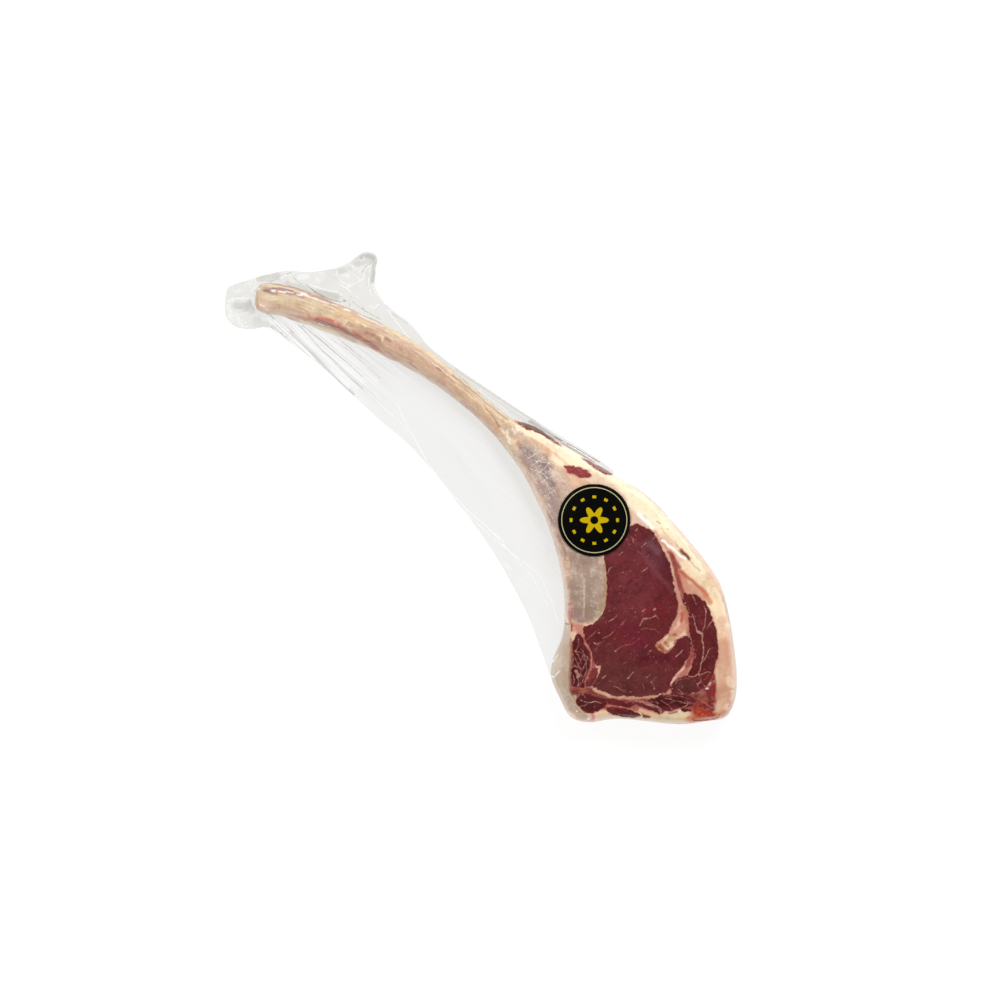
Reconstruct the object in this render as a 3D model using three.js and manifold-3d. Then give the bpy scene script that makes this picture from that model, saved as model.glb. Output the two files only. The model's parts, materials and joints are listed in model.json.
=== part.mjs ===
import * as THREE from 'three';
import { mergeVertices } from 'three/addons/utils/BufferGeometryUtils.js';
import Module from 'manifold-3d';

// A raw tomahawk steak in a clear shrink bag, lying on one cut face. Millimetres, +Z up.
// Outlines are seen from above: the rib's sawn tip points to -X +Y, the head's foot to +X -Y.

const headThickness = 44;      // the steak's cut, through the head
const ribThickness = 30;       // the rib's broad side, which stands upright here
const ribLift = 5;             // how high the middle of the rib arches off the table
const pieceGap = 0.3;          // between pieces that lie against each other
const gridStep = 8.2;          // facet size of the cut faces
const samplesPerSpan = 4;      // facets between two outline points

const filmWebHeight = 13;      // where the two films meet, above the table
const filmWebThickness = 1.4;  // both films, pressed together
const filmRipple = 2.6;        // wrinkles in the loose ends of the bag
const filmGridStep = 10;
const filmSamplesPerSpan = 2;

const labelRadius = 29;
const labelThickness = 0.7;
const labelCentre = [90.5, -25.5];

const juiceDepth = 12;         // the pool of juice under the film, at the foot

// The rib's centre line: x, y and half its width.
const ribSpine = [
  [-174.5, 153.2, 11.6], [-160, 151.4, 12.3], [-143.5, 146.4, 12.7], [-111, 133.5, 11.9],
  [-79, 119.5, 10.9], [-46, 101, 9.9], [-21, 82.5, 8.5], [-3, 67.5, 7.9], [11, 55.5, 8.8],
];
const ribTip = [[-180.2, 144.8], [-180.8, 154.4], [-178.4, 162.2]];    // the sawn end
const ribTipRounding = 2.5;    // the sawn tip's edges
const ribEdgeShare = 0.62;     // how much of its half width the rib's round edge takes

// The head's outline from the neck round the foot and back: x, y, and how far the cut face's
// edge lies inside the outline there. The outline is the widest section of the wall.
const headOutline = [
  [23.5, 57, 4], [44.5, 49, 4], [60.5, 38.5, 4.5], [106, 11.5, 5], [132.5, -5, 5.5],
  [154.5, -27.5, 6], [190.5, -73.5, 6], [198.5, -99, 6], [203.5, -129.5, 6],
  [205.5, -150.5, 6.5], [204, -169.5, 6.5], [196.5, -183.5, 5.5], [180.5, -187, 5.5],
  [159.5, -189.5, 6], [109, -185, 6], [86, -188, 8], [72.5, -184, 10], [63.5, -168.5, 12],
  [56.5, -150.5, 14], [58.5, -137.5, 12], [66, -117.5, 6], [67.5, -93.5, 3.5],
  [65, -69.5, 3], [55.5, -33.5, 4], [45, -9.5, 5], [30.5, 17.5, 6],
];

// The wall's section, from below the table to above the cut face: height as a share of the
// thickness, then how much of the bottom's and of the top's inset it has there.
const wallSection = [
  [-0.3, 1.1, 0], [0, 1, 0], [0.1, 0.5, 0], [0.3, 0, 0], [0.52, 0, 0.05],
  [0.72, 0, 0.22], [0.86, 0, 0.48], [0.95, 0, 0.76], [1, 0, 1], [1.3, 0, 1.3],
];
const bottomInsetShare = 0.8;
const bottomInsetMost = 6.5;

// Where the rib's bone runs into the head, between the fat and the lean. The line starts and
// ends outside the steak.
const boneEdge = [
  [23.5, 58.5], [36.5, 41.5], [60.5, 18.5], [70, 2.5], [82.5, -16], [95.5, -33.5],
  [99.5, -66], [98, -97.5], [90.5, -107.5], [69, -108.5],
];
const roundTheRib = [[40, -109], [-120, -60], [-240, 60], [-240, 220], [-40, 180]];

const leanRegions = {
  eye_muscle: [
    [105, -34.5], [123.5, -28.5], [136.5, -32.5], [145.5, -44.5], [159.5, -95],
    [148.5, -117.5], [140.5, -124.5], [145.5, -132], [160, -118.5], [165, -117],
    [167, -125.5], [162, -142.5], [154.5, -150], [152, -158], [147.5, -162], [108.5, -164],
    [99, -162], [92, -157.5], [95.5, -152], [96.5, -143], [91.5, -138.5], [91, -132.5],
    [84.5, -120], [83.5, -113], [90.5, -109.5], [99, -100], [102, -68.5], [101.5, -51],
  ],
  cap_muscle: [
    [161, -83], [172.5, -84.5], [184.5, -99], [190, -124.5], [188.5, -140], [187, -150.5],
    [180.5, -158.5], [159.5, -164], [154.5, -160], [156, -153.5], [162.5, -149.5],
    [170.5, -136], [167.5, -111], [165, -96.5], [161, -90.5],
  ],
  side_muscle: [
    [77, -115], [80.5, -116], [82.5, -124.5], [86.5, -129], [89, -135], [90, -141.5],
    [94, -144], [89, -157.5], [74.5, -160.5],
  ],
  lower_lean_1: [[75, -164.5], [106.5, -169.5], [91.5, -178.5], [83.5, -177.5], [78, -173]],
  lower_lean_2: [[101, -175], [119.5, -178.5], [125.5, -179.5], [124.5, -182], [106, -179]],
  lower_lean_3: [[108, -168.5], [126, -172], [141.5, -178.5], [124.5, -175.5], [111.5, -173]],
  lower_lean_4: [[131.5, -170.5], [154.5, -166.5], [164.5, -169], [166, -174.5], [145, -176.5]],
  lean_island: [[66.5, 17.5], [80.5, 16.5], [88, 11.5], [84.5, 9], [71, 12.5]],
};
const edgeLeanRegions = {
  edge_lean_1: [[28, 58], [45, 51], [67, 35], [58, 37], [48.5, 43.5], [34, 47.5]],
  edge_lean_2: [[82.5, 27], [92, 22], [108, 11.5], [99, 11.5], [86, 19.5]],
};
const juiceRegion = [
  [174.5, -164], [182, -161.5], [186.5, -157.5], [189.5, -169.5], [189, -182],
  [176.5, -184.5], [169, -183.5], [170, -169.5],
];

// The bag's free edges, both from its tail at the left: along the rib's back to the head, and
// across the hollow of the rib to the head's left wall.
const bagBackEdge = [
  [-205, 149.5], [-204, 157.5], [-201.5, 161.5], [-195.5, 164], [-187.5, 166.5],
  [-171.5, 171.5], [-154, 174.5], [-139.5, 173], [-123.5, 175], [-115.5, 176.5],
  [-107.5, 180], [-99.5, 185.5], [-95.5, 188.5], [-91, 189.5], [-86, 188], [-83.5, 184],
  [-84.5, 179.5], [-86, 165.5], [-85, 159.5], [-78.5, 150], [-67.5, 139.5], [-59.5, 134],
  [-51.5, 125.5], [-43.5, 115], [-35.5, 108], [-19.5, 96], [12.5, 74.5], [36.5, 58.5],
  [60.5, 43.5], [92.5, 24], [106, 13.5],
];
const bagWebEdge = [
  [-205, 149.5], [-205, 141.5], [-203.5, 137], [-199.5, 132], [-194, 129.5], [-184.5, 128.5],
  [-170, 130], [-155.5, 119.5], [-136.5, 105.5], [-117.5, 89.5], [-79, 53.5], [-59.5, 37.5],
  [-40.5, 16.5], [-2, -32.5], [17, -61.5], [36.5, -97.5], [46, -121], [56, -150],
];
const insideTheHead = [[130, -50], [100, -110]];

// Low swellings of the cut face: x, y, radius and height.
const swellings = [
  [126, -72, 40, 1.4], [176, -122, 16, 1.3], [128, -142, 28, 0.8], [158, -50, 22, 1.6],
  [196, -130, 14, 1.2], [82, -80, 20, 0.8], [60, 5, 26, -0.8], [110, -176, 30, -0.6],
];

const colours = {
  bone: [0xd8bc98, 0.55], fat: [0xe6cbae, 0.5], lean: [0x6f3a3c, 0.42],
  juice: [0x9a3026, 0.15], label: [0x101010, 0.35], film: [0xe4e6e2, 0.12],
};

const wasm = await Module();
wasm.setup();

function toSolid(geometry) {
  geometry.deleteAttribute('normal');
  geometry.deleteAttribute('uv');
  const merged = mergeVertices(geometry, 1e-3);
  return new wasm.Manifold(new wasm.Mesh({
    numProp: 3,
    vertProperties: Float32Array.from(merged.attributes.position.array),
    triVerts: Uint32Array.from(merged.index.array),
  }));
}

function toGeometry(solid) {
  const mesh = solid.getMesh();
  const geometry = new THREE.BufferGeometry();
  geometry.setAttribute('position', new THREE.BufferAttribute(mesh.vertProperties, 3));
  geometry.setIndex(new THREE.BufferAttribute(mesh.triVerts, 1));
  return geometry;
}

// The largest connected body of a solid, without the scraps that a cut leaves.
function mainBody(solid) {
  const bodies = solid.decompose();
  return bodies.reduce((best, next) => (next.volume() > best.volume() ? next : best));
}

const smoothstep = THREE.MathUtils.smoothstep;

// Grows from the rib's tip to the head's foot, 0 at the neck.
const alongSteak = (x, y) => 0.6 * x - 0.8 * y + 30;

function undersideAt(x, y) {
  const ribShare = THREE.MathUtils.clamp(-alongSteak(x, y) / 200, 0, 1);
  return ribLift * Math.sin(Math.PI * ribShare) ** 2;
}

function thicknessAt(x, y) {
  return THREE.MathUtils.lerp(ribThickness, headThickness, smoothstep(alongSteak(x, y), -30, 95));
}

function swellingAt(x, y) {
  let height = 0;
  for (const [sx, sy, radius, most] of swellings) {
    height += most * Math.exp(-((x - sx) ** 2 + (y - sy) ** 2) / radius ** 2);
  }
  return height;
}

const cutFaceAt = (x, y) => undersideAt(x, y) + thicknessAt(x, y) + swellingAt(x, y);

// A slab over the whole steak whose faces follow two height functions.
function slab(step, topAt, bottomAt) {
  const width = 460;
  const cells = Math.round(width / step);
  const geometry = new THREE.BoxGeometry(width, width, 1, cells, cells, 1);
  const places = geometry.attributes.position;
  for (let i = 0; i < places.count; i++) {
    const x = places.getX(i);
    const y = places.getY(i);
    places.setZ(i, places.getZ(i) > 0 ? topAt(x, y) : bottomAt(x, y));
  }
  return toSolid(geometry);
}

// Counter-clockwise points of a smooth closed line through [x, y, inset] points.
function closedLine(points) {
  const knots = points.map(([x, y, inset = 0]) => new THREE.Vector3(x, y, inset));
  const curve = new THREE.CatmullRomCurve3(knots, true, 'centripetal');
  const count = points.length * samplesPerSpan;
  const line = [];
  for (let i = 0; i < count; i++) line.push(curve.getPoint(i / count));
  return THREE.ShapeUtils.isClockWise(line) ? line.reverse() : line;
}

// The line moved inwards, each point by its own distance.
function movedIn(line, distanceOf) {
  return line.map((point, i) => {
    const before = line[(i + line.length - 1) % line.length];
    const after = line[(i + 1) % line.length];
    const along = new THREE.Vector2(after.x - before.x, after.y - before.y).normalize();
    const distance = distanceOf(point);
    return new THREE.Vector2(point.x - along.y * distance, point.y + along.x * distance);
  });
}

// An upright column over a line, from low to high, widened all round by grow.
function column(line, low, high, grow = 0) {
  const shape = new THREE.Shape(movedIn(line, () => -grow));
  const geometry = new THREE.ExtrudeGeometry(shape, { depth: high - low, bevelEnabled: false });
  return toSolid(geometry.translate(0, 0, low));
}

function bodyOutline() {
  const back = [];
  const hollow = [];
  ribSpine.forEach(([x, y, halfWidth], i) => {
    const [x0, y0] = ribSpine[Math.max(i - 1, 0)];
    const [x1, y1] = ribSpine[Math.min(i + 1, ribSpine.length - 1)];
    const side = new THREE.Vector2(y0 - y1, x1 - x0).normalize().multiplyScalar(halfWidth);
    const inset = i === 0 ? ribTipRounding : halfWidth * ribEdgeShare;
    back.push([x + side.x, y + side.y, inset]);
    hollow.unshift([x - side.x, y - side.y, inset]);
  });
  const tip = ribTip.map(([x, y]) => [x, y, ribTipRounding]);
  return closedLine([...back, ...headOutline, ...hollow, ...tip]);
}

// A ring of points for each step of the wall's section, joined and closed at both ends.
function wallSolid(outline) {
  const count = outline.length;
  const bottomInset = (p) => Math.min(p.z * bottomInsetShare, bottomInsetMost);
  const places = [];
  for (const [share, bottomPart, topPart] of wallSection) {
    const ring = movedIn(outline, (p) => bottomPart * bottomInset(p) + topPart * p.z);
    ring.forEach((point, i) => {
      const { x, y } = outline[i];
      places.push(point.x, point.y, undersideAt(x, y) + share * thicknessAt(x, y));
    });
  }
  const index = [];
  for (let ring = 0; ring < wallSection.length - 1; ring++) {
    for (let i = 0; i < count; i++) {
      const a = ring * count + i;
      const b = ring * count + ((i + 1) % count);
      index.push(a, b, b + count, a, b + count, a + count);
    }
  }
  const lastRing = (wallSection.length - 1) * count;
  const ringPoints = (first) => outline.map((_, i) => {
    const at = (first + i) * 3;
    return new THREE.Vector2(places[at], places[at + 1]);
  });
  for (const [a, b, c] of THREE.ShapeUtils.triangulateShape(ringPoints(0), [])) {
    index.push(a, c, b);
  }
  for (const [a, b, c] of THREE.ShapeUtils.triangulateShape(ringPoints(lastRing), [])) {
    index.push(lastRing + a, lastRing + b, lastRing + c);
  }
  const geometry = new THREE.BufferGeometry();
  geometry.setAttribute('position', new THREE.Float32BufferAttribute(places, 3));
  geometry.setIndex(index);
  return toSolid(geometry);
}

// Swings up and down in the loose ends of the bag, past the rib's tip and above its back.
function filmHeightAt(x, y) {
  const looseness = Math.max(smoothstep(-x, 170, 200), smoothstep(y, 162, 186));
  const ripple = Math.sin(x / 6.5) * Math.cos(y / 9);
  return filmWebHeight + looseness * (3 + filmRipple * ripple);
}

const group = new THREE.Group();

function addPiece(name, solid, look) {
  const [color, roughness] = colours[look];
  const material = new THREE.MeshStandardMaterial({ color, roughness, metalness: 0 });
  const mesh = new THREE.Mesh(toGeometry(solid), material);
  mesh.name = name;
  group.add(mesh);
}

const below = -20;
const above = 80;
const outline = bodyOutline();
const steak = slab(gridStep, cutFaceAt, undersideAt).intersect(wallSolid(outline));

// Each region is cut out of what the earlier ones left, so neighbours keep their gap.
let rest = steak;
function takeOut(name, line, look, low = below) {
  addPiece(name, mainBody(rest.intersect(column(line, low, above))), look);
  rest = rest.subtract(column(line, low - pieceGap, above, pieceGap));
}

const boneCurve = new THREE.SplineCurve(boneEdge.map(([x, y]) => new THREE.Vector2(x, y)));
const boneLine = [
  ...boneCurve.getPoints(boneEdge.length * samplesPerSpan),
  ...roundTheRib.map(([x, y]) => new THREE.Vector2(x, y)),
];
takeOut('rib_bone', THREE.ShapeUtils.isClockWise(boneLine) ? boneLine.reverse() : boneLine, 'bone');
for (const [name, points] of Object.entries({ ...leanRegions, ...edgeLeanRegions })) {
  takeOut(name, closedLine(points), 'lean');
}
takeOut('juice_pocket', closedLine(juiceRegion), 'juice', headThickness - juiceDepth);
addPiece('fat_cap', mainBody(rest), 'fat');

const labelLine = new THREE.EllipseCurve(...labelCentre, labelRadius, labelRadius)
  .getPoints(48).slice(0, -1);
const labelSheet = slab(
  gridStep,
  (x, y) => cutFaceAt(x, y) + pieceGap + labelThickness,
  (x, y) => cutFaceAt(x, y) + pieceGap,
);
addPiece('label', labelSheet.intersect(column(labelLine, below, above)), 'label');

const openLine = (points) => new THREE.SplineCurve(points.map(([x, y]) => new THREE.Vector2(x, y)))
  .getPoints(points.length * filmSamplesPerSpan);
const bagLine = [
  ...openLine(bagWebEdge),
  ...insideTheHead.map(([x, y]) => new THREE.Vector2(x, y)).reverse(),
  ...openLine(bagBackEdge).reverse().slice(0, -1),
];
const filmSheet = slab(
  filmGridStep,
  (x, y) => filmHeightAt(x, y) + filmWebThickness / 2,
  (x, y) => filmHeightAt(x, y) - filmWebThickness / 2,
);
const freeFilm = filmSheet
  .intersect(column(bagLine, below, above))
  .subtract(column(outline, below, above, pieceGap));
addPiece('bag', mainBody(freeFilm), 'film');

// The origin is the middle of the underside of the whole.
const box = new THREE.Box3().setFromObject(group);
const middle = box.getCenter(new THREE.Vector3());
group.position.set(-middle.x, -middle.y, -box.min.z);

export default group;
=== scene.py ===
import bpy
import json
import math
import numpy as np
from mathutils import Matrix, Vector
from mathutils.bvhtree import BVHTree

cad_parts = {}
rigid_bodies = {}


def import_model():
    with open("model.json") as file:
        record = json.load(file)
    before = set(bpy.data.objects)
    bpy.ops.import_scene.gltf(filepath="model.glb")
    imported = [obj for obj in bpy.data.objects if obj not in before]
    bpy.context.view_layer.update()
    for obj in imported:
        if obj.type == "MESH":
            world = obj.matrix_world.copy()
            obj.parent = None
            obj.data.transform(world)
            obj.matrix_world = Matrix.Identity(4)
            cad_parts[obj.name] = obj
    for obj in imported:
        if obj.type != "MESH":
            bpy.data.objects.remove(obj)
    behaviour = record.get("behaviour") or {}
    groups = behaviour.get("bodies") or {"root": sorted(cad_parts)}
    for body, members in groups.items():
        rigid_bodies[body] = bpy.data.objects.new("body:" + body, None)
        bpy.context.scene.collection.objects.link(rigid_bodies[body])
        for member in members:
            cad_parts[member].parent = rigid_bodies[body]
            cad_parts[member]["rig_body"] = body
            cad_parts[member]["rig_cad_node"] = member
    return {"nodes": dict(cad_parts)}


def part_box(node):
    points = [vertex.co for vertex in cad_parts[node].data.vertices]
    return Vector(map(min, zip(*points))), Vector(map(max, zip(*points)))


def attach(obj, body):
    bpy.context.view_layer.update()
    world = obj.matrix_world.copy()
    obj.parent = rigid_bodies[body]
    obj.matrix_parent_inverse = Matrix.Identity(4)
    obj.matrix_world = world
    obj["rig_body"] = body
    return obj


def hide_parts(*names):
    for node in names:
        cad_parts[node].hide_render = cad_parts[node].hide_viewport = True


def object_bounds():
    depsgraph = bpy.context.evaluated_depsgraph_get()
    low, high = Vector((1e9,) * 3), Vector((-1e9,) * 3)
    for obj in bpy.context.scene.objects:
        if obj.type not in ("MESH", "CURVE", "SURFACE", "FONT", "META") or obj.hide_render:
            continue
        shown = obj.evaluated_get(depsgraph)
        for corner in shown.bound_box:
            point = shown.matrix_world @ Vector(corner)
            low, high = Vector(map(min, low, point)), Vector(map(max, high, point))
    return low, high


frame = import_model()
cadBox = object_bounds()
mm = 0.001

# Places are on a drawing of 1000 x 1000 squares, x to the right and y down, as the camera
# sees it. A square is 0.8 mm. The label's disc says where the drawing is in the frame.
square = 0.0008
labelShape = {"centre": (593.8, 520.0), "voxel": 0.5, "lift": 0.5}
labelLow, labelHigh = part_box("label")
corner = Vector(((labelLow.x + labelHigh.x) / 2 - labelShape["centre"][0] * square,
                 (labelLow.y + labelHigh.y) / 2 + labelShape["centre"][1] * square))


def sRgb(red, green, blue):
    # a screen colour from 0 to 255, as the linear colour that shaders take
    def linear(c):
        c = c / 255
        return c / 12.92 if c <= 0.04045 else ((c + 0.055) / 1.055) ** 2.4
    return (linear(red), linear(green), linear(blue), 1.0)


# camera, light and floor

view = {"distance": 3.0, "planeHeight": 0.030, "lens": 135.0}


def makeCamera():
    x = corner.x + 500 * square
    y = corner.y - 500 * square
    bpy.ops.object.camera_add(location=(x, y, view["planeHeight"] + view["distance"]),
                              rotation=(0, 0, 0))
    camera = bpy.context.active_object
    camera.data.lens = view["lens"]
    camera.data.clip_end = 20
    bpy.context.scene.camera = camera


light = {"sky": 1.0, "zenith": 0.03, "dimFrom": 0.60, "dimTo": 0.90, "tint": (1.0, 0.99, 0.975, 1),
         "keyPower": 16.0, "keySize": 0.7, "keyPlace": (0.55, 0.85, 1.5),
         "fillPower": 6.0, "fillSize": 0.5, "fillPlace": (-1.0, 0.5, 1.3)}


def addLamp(name, place, size, power):
    bpy.ops.object.light_add(type="AREA", location=place)
    lamp = bpy.context.active_object
    lamp.name = name
    lamp.data.size = size
    lamp.data.energy = power
    lamp.rotation_euler = Vector(place).to_track_quat("Z", "Y").to_euler()


def makeLight():
    # a pale tent that is dark round the camera
    world = bpy.data.worlds.new("studio")
    world.use_nodes = True
    tree = world.node_tree
    direction = addNode(tree, "ShaderNodeTexCoord").outputs["Generated"]
    height = addNode(tree, "ShaderNodeSeparateXYZ", {0: direction}).outputs[2]
    strength = ramp(tree, height, light["dimFrom"], light["dimTo"], light["sky"],
                    light["zenith"])
    background = tree.nodes["Background"]
    background.inputs["Color"].default_value = light["tint"]
    tree.links.new(strength, background.inputs["Strength"])
    bpy.context.scene.world = world
    addLamp("keyLamp", light["keyPlace"], light["keySize"], light["keyPower"])
    addLamp("fillLamp", light["fillPlace"], light["fillSize"], light["fillPower"])
    bpy.context.scene.view_settings.view_transform = "Standard"


floorShape = {"size": 6.0, "below": 0.0008, "glow": 0.91, "shade": 0.12}


def makeFloor():
    bpy.ops.mesh.primitive_plane_add(size=floorShape["size"],
                                     location=(0, 0, -floorShape["below"]))
    floor = bpy.context.active_object
    floor.name = "floor"
    paint = bpy.data.materials.new("paleFloor")
    paint.use_nodes = True
    shader = paint.node_tree.nodes["Principled BSDF"]
    shade = floorShape["shade"]
    shader.inputs["Base Color"].default_value = (shade, shade, shade, 1)
    shader.inputs["Roughness"].default_value = 0.9
    shader.inputs["Specular IOR Level"].default_value = 0.0
    shader.inputs["Emission Color"].default_value = (1, 1, 1, 1)
    shader.inputs["Emission Strength"].default_value = floorShape["glow"]
    floor.data.materials.append(paint)


# tools for materials

def addNode(tree, kind, inputs=None, **settings):
    node = tree.nodes.new(kind)
    for key, value in settings.items():
        setattr(node, key, value)
    for key, value in (inputs or {}).items():
        if isinstance(value, bpy.types.NodeSocket):
            tree.links.new(value, node.inputs[key])
        else:
            node.inputs[key].default_value = value
    return node


def calc(tree, operation, first, second=0.0, third=0.0):
    return addNode(tree, "ShaderNodeMath", {0: first, 1: second, 2: third},
                   operation=operation).outputs[0]


def blend(tree, factor, first, second, kind="MIX"):
    return addNode(tree, "ShaderNodeMix", {0: factor, 6: first, 7: second},
                   data_type="RGBA", blend_type=kind).outputs[2]


def ramp(tree, value, low, high, toLow=0.0, toHigh=1.0):
    return addNode(tree, "ShaderNodeMapRange",
                   {0: value, 1: low, 2: high, 3: toLow, 4: toHigh},
                   interpolation_type="SMOOTHSTEP").outputs[0]


def noise(tree, place, scale, detail=3.0, roughness=0.55):
    return addNode(tree, "ShaderNodeTexNoise", {"Vector": place, "Scale": scale,
                                                "Detail": detail, "Roughness": roughness})


def readValue(tree, name):
    return addNode(tree, "ShaderNodeAttribute", attribute_name=name).outputs["Fac"]


def readColour(tree, name):
    return addNode(tree, "ShaderNodeAttribute", attribute_name=name).outputs["Color"]


def readVector(tree, name):
    return addNode(tree, "ShaderNodeAttribute", attribute_name=name).outputs["Vector"]


def newMaterial(name):
    material = bpy.data.materials.new(name)
    material.use_nodes = True
    return material, material.node_tree, material.node_tree.nodes["Principled BSDF"]


def newGroup(name, inputs, outputs):
    group = bpy.data.node_groups.new(name, "ShaderNodeTree")
    for socket, kind, value in inputs:
        made = group.interface.new_socket(name=socket, in_out="INPUT", socket_type=kind)
        if value is not None:
            made.default_value = value
    for socket, kind in outputs:
        group.interface.new_socket(name=socket, in_out="OUTPUT", socket_type=kind)
    return group, addNode(group, "NodeGroupInput"), addNode(group, "NodeGroupOutput")


def useGroup(tree, group, inputs):
    return addNode(tree, "ShaderNodeGroup", inputs, node_tree=group)


makeCamera()
makeLight()
makeFloor()
print("camera, light and floor are in place")


# tools for shapes

def selectOnly(thing):
    bpy.ops.object.select_all(action="DESELECT")
    thing.select_set(True)
    bpy.context.view_layer.objects.active = thing


def copyNodes(name, *nodes):
    # one new mesh from copies of CAD nodes, with its doubled points merged
    bpy.ops.object.select_all(action="DESELECT")
    for node in nodes:
        frame["nodes"][node].select_set(True)
    bpy.context.view_layer.objects.active = frame["nodes"][nodes[0]]
    bpy.ops.object.duplicate()
    if len(nodes) > 1:
        bpy.ops.object.join()
    piece = bpy.context.active_object
    piece.parent = None
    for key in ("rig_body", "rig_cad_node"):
        if key in piece:
            del piece[key]
    piece.name = name
    piece.data.name = name
    piece.data.materials.clear()
    bpy.ops.object.mode_set(mode="EDIT")
    bpy.ops.mesh.select_all(action="SELECT")
    bpy.ops.mesh.remove_doubles(threshold=0.00002)
    bpy.ops.object.mode_set(mode="OBJECT")
    return piece


def applyModifier(piece, kind, **settings):
    selectOnly(piece)
    modifier = piece.modifiers.new(kind.lower(), kind)
    for key, value in settings.items():
        setattr(modifier, key, value)
    bpy.ops.object.modifier_apply(modifier=modifier.name)


def remesh(piece, voxel, smoothing):
    applyModifier(piece, "REMESH", mode="VOXEL", voxel_size=voxel * mm)
    applyModifier(piece, "SMOOTH", factor=0.5, iterations=smoothing)
    selectOnly(piece)
    bpy.ops.object.shade_smooth()


def readVertices(piece, key="co"):
    flat = np.empty(len(piece.data.vertices) * 3)
    piece.data.vertices.foreach_get(key, flat)
    return flat.reshape(-1, 3)


def writePoints(piece, points):
    piece.data.vertices.foreach_set("co", points.ravel())
    piece.data.update()


def drawnPlaces(points):
    return (points[:, 0] - corner.x) / square, (corner.y - points[:, 1]) / square


def waves(x, y, length, seed, count=7):
    # a gentle seeded unevenness between about -1 and 1, with humps about one length apart
    draw = np.random.default_rng(seed)
    total = np.zeros_like(x)
    for k in range(count):
        turn = draw.uniform(0, 2 * math.pi)
        pitch = 2 * math.pi / (length * draw.uniform(0.7, 1.6))
        total += np.sin(pitch * (x * math.cos(turn) + y * math.sin(turn))
                        + draw.uniform(0, 2 * math.pi))
    return total / math.sqrt(count) / 1.4


def lineDistance(x, y, points):
    # how far each place is from a line through points, and how far along it, in squares
    if len(points) == 1:
        return np.hypot(x - points[0][0], y - points[0][1]), np.zeros(x.shape)
    best = np.full(x.shape, 1e9)
    along = np.zeros(x.shape)
    done = 0.0
    for (ax, ay), (bx, by) in zip(points, points[1:]):
        length = math.dist((ax, ay), (bx, by))
        t = ((x - ax) * (bx - ax) + (y - ay) * (by - ay)) / (length * length)
        t = np.clip(t, 0, 1)
        gap = np.hypot(x - ax - t * (bx - ax), y - ay - t * (by - ay))
        nearer = gap < best
        best = np.where(nearer, gap, best)
        along = np.where(nearer, done + t * length, along)
        done += length
    return best, along


def insideDistance(x, y, outline):
    # how far each place is from a closed outline, positive inside it
    gap, _ = lineDistance(x, y, list(outline) + [outline[0]])
    inside = np.zeros(x.shape, bool)
    for (ax, ay), (bx, by) in zip(outline, list(outline[1:]) + [outline[0]]):
        if ay != by:
            crosses = ((ay > y) != (by > y)) & (x < ax + (y - ay) * (bx - ax) / (by - ay))
            inside ^= crosses
    return np.where(inside, gap, -gap)


def near(x, y, points, reach):
    # which places can be touched by a stroke
    xs = [p[0] for p in points]
    ys = [p[1] for p in points]
    return ((x > min(xs) - reach) & (x < max(xs) + reach)
            & (y > min(ys) - reach) & (y < max(ys) + reach))


def paintStrokes(x, y, base, strokes):
    # a base colour, then each stroke over it: colour, strength, reach in squares, its lines
    tone = np.tile(np.array(sRgb(*base)[:3]), (len(x), 1))
    for colour, strength, reach, *lines in strokes:
        # a broad stroke has a fuller middle than a thin one
        fullness = 1.25 + 0.8 * min(max(reach - 2, 0) / 4, 1)
        for points in lines:
            touched = near(x, y, points, reach)
            gap, _ = lineDistance(x[touched], y[touched], points)
            share = np.clip(fullness * (1 - gap / reach), 0, 1)
            share = (strength * share * share * (3 - 2 * share))[:, None]
            tone[touched] = tone[touched] * (1 - share) + np.array(sRgb(*colour)[:3]) * share
    return tone


threadShape = {"reach": 3.0, "veinAndGlint": 0.66, "crease": 0.34}


def threadField(x, y, threads, usual):
    # 0.5 on each thread's edge and more inside it, and the nearest thread's tone or the usual
    # one; threads are tone, half width, lines
    reach = threadShape["reach"]
    field = np.zeros(len(x))
    tones = np.tile(np.array(usual, float), (len(x), 1))
    for tone, halfWidth, *lines in threads:
        for points in lines:
            touched = near(x, y, points, reach)
            gap, _ = lineDistance(x[touched], y[touched], points)
            value = 0.5 + (halfWidth - gap) / reach
            better = value > field[touched]
            field[touched] = np.where(better, value, field[touched])
            tones[touched] = np.where(better[:, None], tone, tones[touched])
    return np.clip(field, 0, 1), tones


def veinField(x, y, veins):
    # veins are whiteness, half width, lines
    threads = [(whiteness, threadShape["veinAndGlint"] * width, *lines)
               for whiteness, width, *lines in veins]
    field, whiteness = threadField(x, y, threads, [0.5])
    return field, whiteness[:, 0]


def storeValue(piece, name, values):
    layer = piece.data.attributes.new(name, "FLOAT", "POINT")
    layer.data.foreach_set("value", np.asarray(values, np.float32))


def storeColour(piece, name, colours):
    layer = piece.data.attributes.new(name, "FLOAT_COLOR", "POINT")
    rgba = np.ones((len(colours), 4), np.float32)
    rgba[:, :3] = colours
    layer.data.foreach_set("color", rgba.ravel())


def storeVector(piece, name, vectors):
    layer = piece.data.attributes.new(name, "FLOAT_VECTOR", "POINT")
    layer.data.foreach_set("vector", np.asarray(vectors, np.float32).ravel())


def finishPiece(piece, material, slotName, *nodes):
    piece.data.materials.clear()
    piece.data.materials.append(material)
    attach(piece, "root")
    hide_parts(*nodes)
    print(piece.name, "has", len(piece.data.polygons), "faces")


# the height of the top, with the seams between the pieces closed

packedNodes = ("fat_cap", "rib_bone", "eye_muscle", "cap_muscle", "side_muscle",
               "lower_lean_1", "lower_lean_2", "lower_lean_3", "lower_lean_4",
               "lean_island", "edge_lean_1", "edge_lean_2", "juice_pocket")
heightGrid = {"step": 1.0 * mm, "margin": 0.012, "closing": 2, "spread": 6}


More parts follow.
